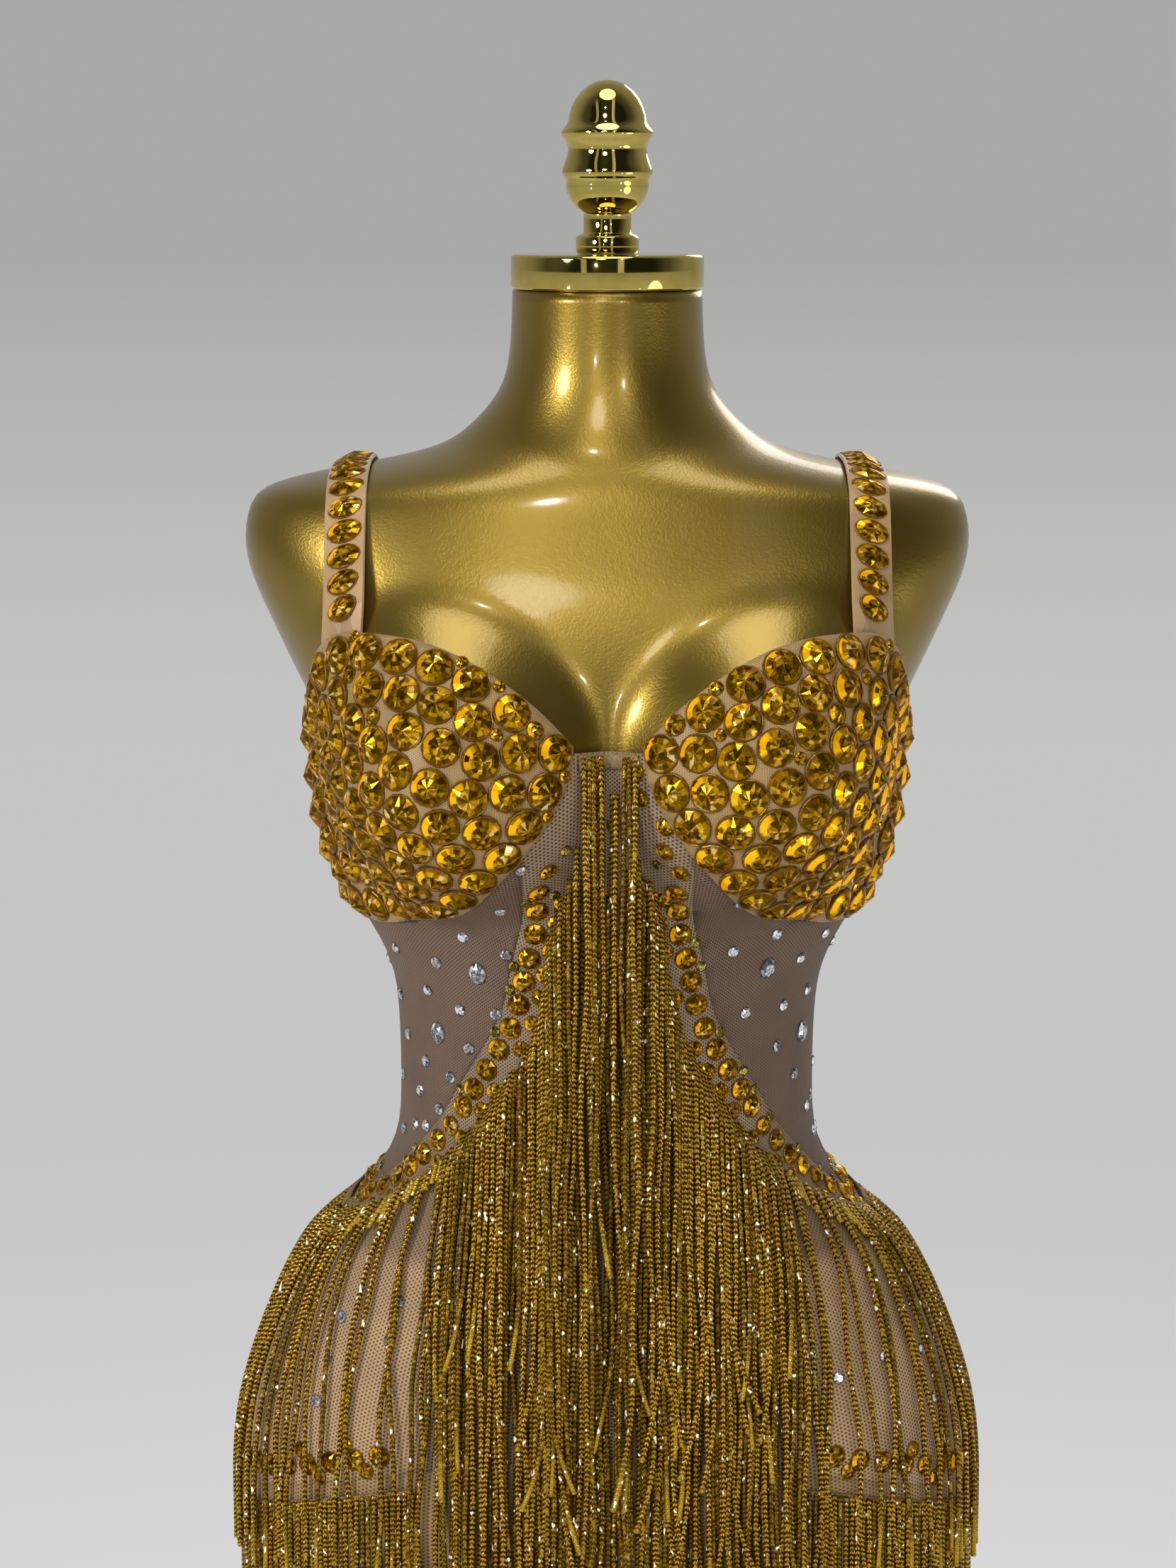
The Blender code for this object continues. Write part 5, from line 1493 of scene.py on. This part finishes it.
def band(name, line, height=TAPE_HEIGHT):
    """The narrow band that a fringe hangs from; line is its foot."""
    line = evenly(line, BAND_STEP)
    shape = bmesh.new()
    bmesh.ops.create_grid(shape, x_segments=len(line) - 1, y_segments=3, size=0.5)
    grid = np.array([vert.co[:2] for vert in shape.verts]) + 0.5
    at = grid[:, 0] * (len(line) - 1)
    places = np.stack([np.interp(at, np.arange(len(line)), line[:, c]) for c in (0, 1)], 1)
    places[:, 1] += grid[:, 1] * height
    lifted = skin(places, CLEAR + CLOTH + TAPE_OFF + TAPE_DEPTH)
    lift(shape, lifted)
    face = shape.faces[:][0]
    if face.normal.dot(Vector(facing(places[:1])[0])) < 0:
        bmesh.ops.reverse_faces(shape, faces=shape.faces)
    piece = finished(name, shape, tape_finish)
    thicken(piece, TAPE_WALL)
    return piece


def trimmed(count, random, longest=0.012, spread=0.024):
    return longest - spread * random.random(count)


def visible_roots(feet, each, over=0.0):
    """Roots of the cords, on the band: each strand of the solids stands for a few of them."""
    at = np.linspace(feet[0, 0], feet[-1, 0], (len(feet) - 1) * each + 1)
    at = (at[1:] + at[:-1]) / 2
    return np.stack([at, np.interp(at, feet[:, 0], feet[:, 1]) + over], 1)


print("a band is", TAPE_HEIGHT, "m high")

# %% [markdown]
# ## Fringe under the stone lines
#
# The band runs under the stones from the middle to the side seam. Near the middle the
# cords are long, and beside it they are short. Where the thigh shows through, only two
# cords in five are left, and the rest are short tufts. Two layers of shorter cords lie
# over the long ones, because trimming left many ends high up. Both sides are worked out
# on the left, each with its own draws, and the right one is mirrored.


# %% Fringe on the two sides
def arc(turn):
    """The flat distance from the front's middle for a turn in degrees."""
    return math.radians(turn) * ROUND


SIDE_GAP = 0.06
stone_line = beside(stone_seam, BELOW_STONES)
before_side = stone_line[:, 0] < arc(SIDE - SIDE_GAP)
stone_line = stone_line[before_side & (stone_line[:, 1] < FRINGE_TOP)]
LONG_END, SHORT_END, CHANGE, CHANGE_WIDTH = 0.640, 0.815, arc(30), 0.012
WINDOWS = {1: (45.5, 73), -1: (40, 73)}
KEPT, WINDOW_EDGE, WINDOW_STRAY, WINDOW_OFF, WINDOW_SWAY = 2, 0.008, 0.0014, 0.0040, 0.0034
STRAND_PITCH, STAGGER, TUFTS, TUFT_IN = 0.0064, 0.0022, (0.008, 0.015), 0.001
OVERLAID, ASIDE, LAYER_OFF, KICKS = 0.75, 0.0016, 0.0018, (-0.012, 0.014)
LAYERS = (
    # layer, ends between these heights
    (1, 0.66, 0.84), (2, 0.80, 0.96),
)
BESIDE_GORE = ((17.4, 1.196), (19.6, 1.186), (21.6, 1.178), (24.0, 1.171), (26.4, 1.165))
feet = roots(stone_line, STRAND_PITCH)
for side, word in ((1, "left"), (-1, "right")):
    random = np.random.default_rng(70 + side)
    opens, closes = (arc(turn) for turn in WINDOWS[side])
    places = np.vstack([np.array(BESIDE_GORE) * (MILLIMETRE, 1), visible_roots(feet, 2)])
    number = np.arange(len(places))
    share = np.clip((places[:, 0] - CHANGE) / CHANGE_WIDTH, 0, 1)
    drops = places[:, 1] - (LONG_END + (SHORT_END - LONG_END) * share)
    drops = drops - trimmed(len(places), random)
    window = (places[:, 0] > opens) & (places[:, 0] < closes)
    into = np.minimum(places[:, 0] - opens, closes - places[:, 0])
    keep = ~window | (number % 5 < KEPT) | ((into < WINDOW_EDGE) & (number % 2 == 1))
    places[window, 0] += random.uniform(-WINDOW_STRAY, WINDOW_STRAY, window.sum())
    places[:, 1] += TAPE_HEIGHT * np.clip((places[:, 0] - opens) / CHANGE_WIDTH + 1, 0, 1)
    off, full, few = OVER_OFF + 0.0002 + STAGGER * (number % 2), keep & ~window, keep & window
    paths = fallen(places[full], drops[full], off[full], 80 + side)
    paths += fallen(places[few], drops[few], WINDOW_OFF, 180 + side, sway=WINDOW_SWAY)
    dense = places[places[:, 0] < opens]
    for layer, low, high in LAYERS:
        part = dense[random.random(len(dense)) < OVERLAID]
        ends = random.uniform(low, high, len(part))
        kicks = random.uniform(*KICKS, len(part))
        paths += fallen(part + (ASIDE * layer, 0), part[:, 1] - ends,
                        OVER_OFF + LAYER_OFF + STAGGER * layer, 90 + side + 10 * layer, kicks=kicks)
    tufts = places[window & ~keep]
    paths += fallen(tufts, random.uniform(*TUFTS, len(tufts)), OVER_OFF - TUFT_IN, 95 + side)
    paths = [path * (side, 1, 1) for path in paths]
    on_panels["hip_" + word] += [
        corded("fringe_cords_" + word, paths, ["fringe_" + word], 100 + side),
        band("fringe_band_" + word, half(feet, side)[::side])]
    print("cords on the", word, len(paths))

# %% [markdown]
# ## Fringe at the neckline
#
# A few long cords hang from a little band between the cups, and more are sewn on below
# it, one by one. Their places are listed in millimetres from the middle, with a height.

# %% Fringe at the neckline
CENTRE_CORDS = (-14.6, -11.8, -7.4, 10.6, 13.4)
LOWER_CORDS = (
    (-9.6, 1.206), (3.2, 1.238), (8.4, 1.200), (-16.6, 1.214), (15.8, 1.208), (-1.6, 1.186),
    (-4.6, 1.158), (0.6, 1.150), (5.6, 1.164), (-14.6, 1.200), (-12.8, 1.168), (14.4, 1.196),
    (12.4, 1.164), (-17.2, 1.190), (17.4, 1.186),
)
WITH_SHORT_ONES, NECK_BAND = [1, 2, 3, 4, 6, 7, 10, 13], 0.0070
NECK_ROOT, NECK_STAGGER, BESIDE_IT, SHORT_OFF = 0.0015, 0.002, 0.0022, 0.0036
random = np.random.default_rng(3)
centre = straight((-7.6, NECK_TAPE), (7.6, NECK_TAPE), 0.0072)
places = np.array([(x * MILLIMETRE, NECKLINE - NECK_ROOT) for x in CENTRE_CORDS]
                  + [(x * MILLIMETRE, height) for x, height in LOWER_CORDS])
drops = trimmed(len(places), random, 0.615, 0.02)
off = OVER_OFF - 0.0008 + NECK_STAGGER * (np.arange(len(places)) % 2)
paths = fallen(places, drops, off, 4)
short = places[WITH_SHORT_ONES]
ends = random.uniform(0.82, 1.00, len(short))
paths += fallen(short + (BESIDE_IT, 0), short[:, 1] - ends, OVER_OFF + SHORT_OFF, 5,
                kicks=random.uniform(-0.012, 0.012, len(short)))
on_panels["front_centre"] += [
    corded("fringe_cords_centre", paths, ["fringe_centre"], 6),
    band("fringe_band_centre", centre, NECK_BAND)]
print("cords at the neckline:", len(paths))

# %% [markdown]
# ## Fringe under the back seam
#
# It carries the sides' fringe round the back, from the same short ends. It can't be seen
# from the front, so it is plain: one even layer, with a small stagger in depth.

# %% Fringe under the back seam
random = np.random.default_rng(7)
line = beside(back_line, BELOW_STONES)
behind_side = line[:, 0] > arc(SIDE + SIDE_GAP)
line = line[behind_side & (line[:, 0] < arc(360 - SIDE_GAP - SIDE))]
feet = roots(line, 0.0112)
places = visible_roots(feet, 3)
drops = places[:, 1] - SHORT_END - trimmed(len(places), random)
paths = fallen(places, drops, OVER_OFF + 0.002 * (np.arange(len(places)) % 2), 8)
on_panels["hip_back"] += [
    corded("fringe_cords_back", paths, ["fringe_back"], 9),
    band("fringe_band_back", feet)]
print("cords at the back:", len(paths))

# %% [markdown]
# ## Fringe under the hip seam
#
# The lower tier hangs from the hip seam down past the hem of the skirt, flat on the
# skirt, under the long cords. Three bands carry it: left, right and back.

# %% Fringe under the hip seam
UNDER_SEAM, HIP_DROP, HIP_TRIM = 0.0125, 0.215, 0.024
HIP_TIERS = (
    # word, first turn, last turn, spacing of the strands, cords for each, seed
    ("left", 30, SIDE - 1, 0.0078, 3, 11), ("right", 1 - SIDE, -30, 0.0078, 3, 12),
    ("back", SIDE + 1, 359 - SIDE, 0.0135, 4, 13),
)
for word, start, end, pitch, each, seed in HIP_TIERS:
    random = np.random.default_rng(seed)
    feet = roots(hip_seam(start, end) - (0, UNDER_SEAM), pitch)
    places = visible_roots(feet, each, TAPE_HEIGHT - 0.0008)
    drops = trimmed(len(places), random, HIP_DROP, HIP_TRIM)
    off = UNDER_OFF + CORD_RADIUS + 0.0012 * (np.arange(len(places)) % 2)
    paths = fallen(places, drops, off, seed + 20)
    on_panels["skirt_back" if word == "back" else "skirt_front"] += [
        corded("hip_cords_" + word, paths, ["fringe_hip_" + word], seed),
        band("hip_band_" + word, feet)]
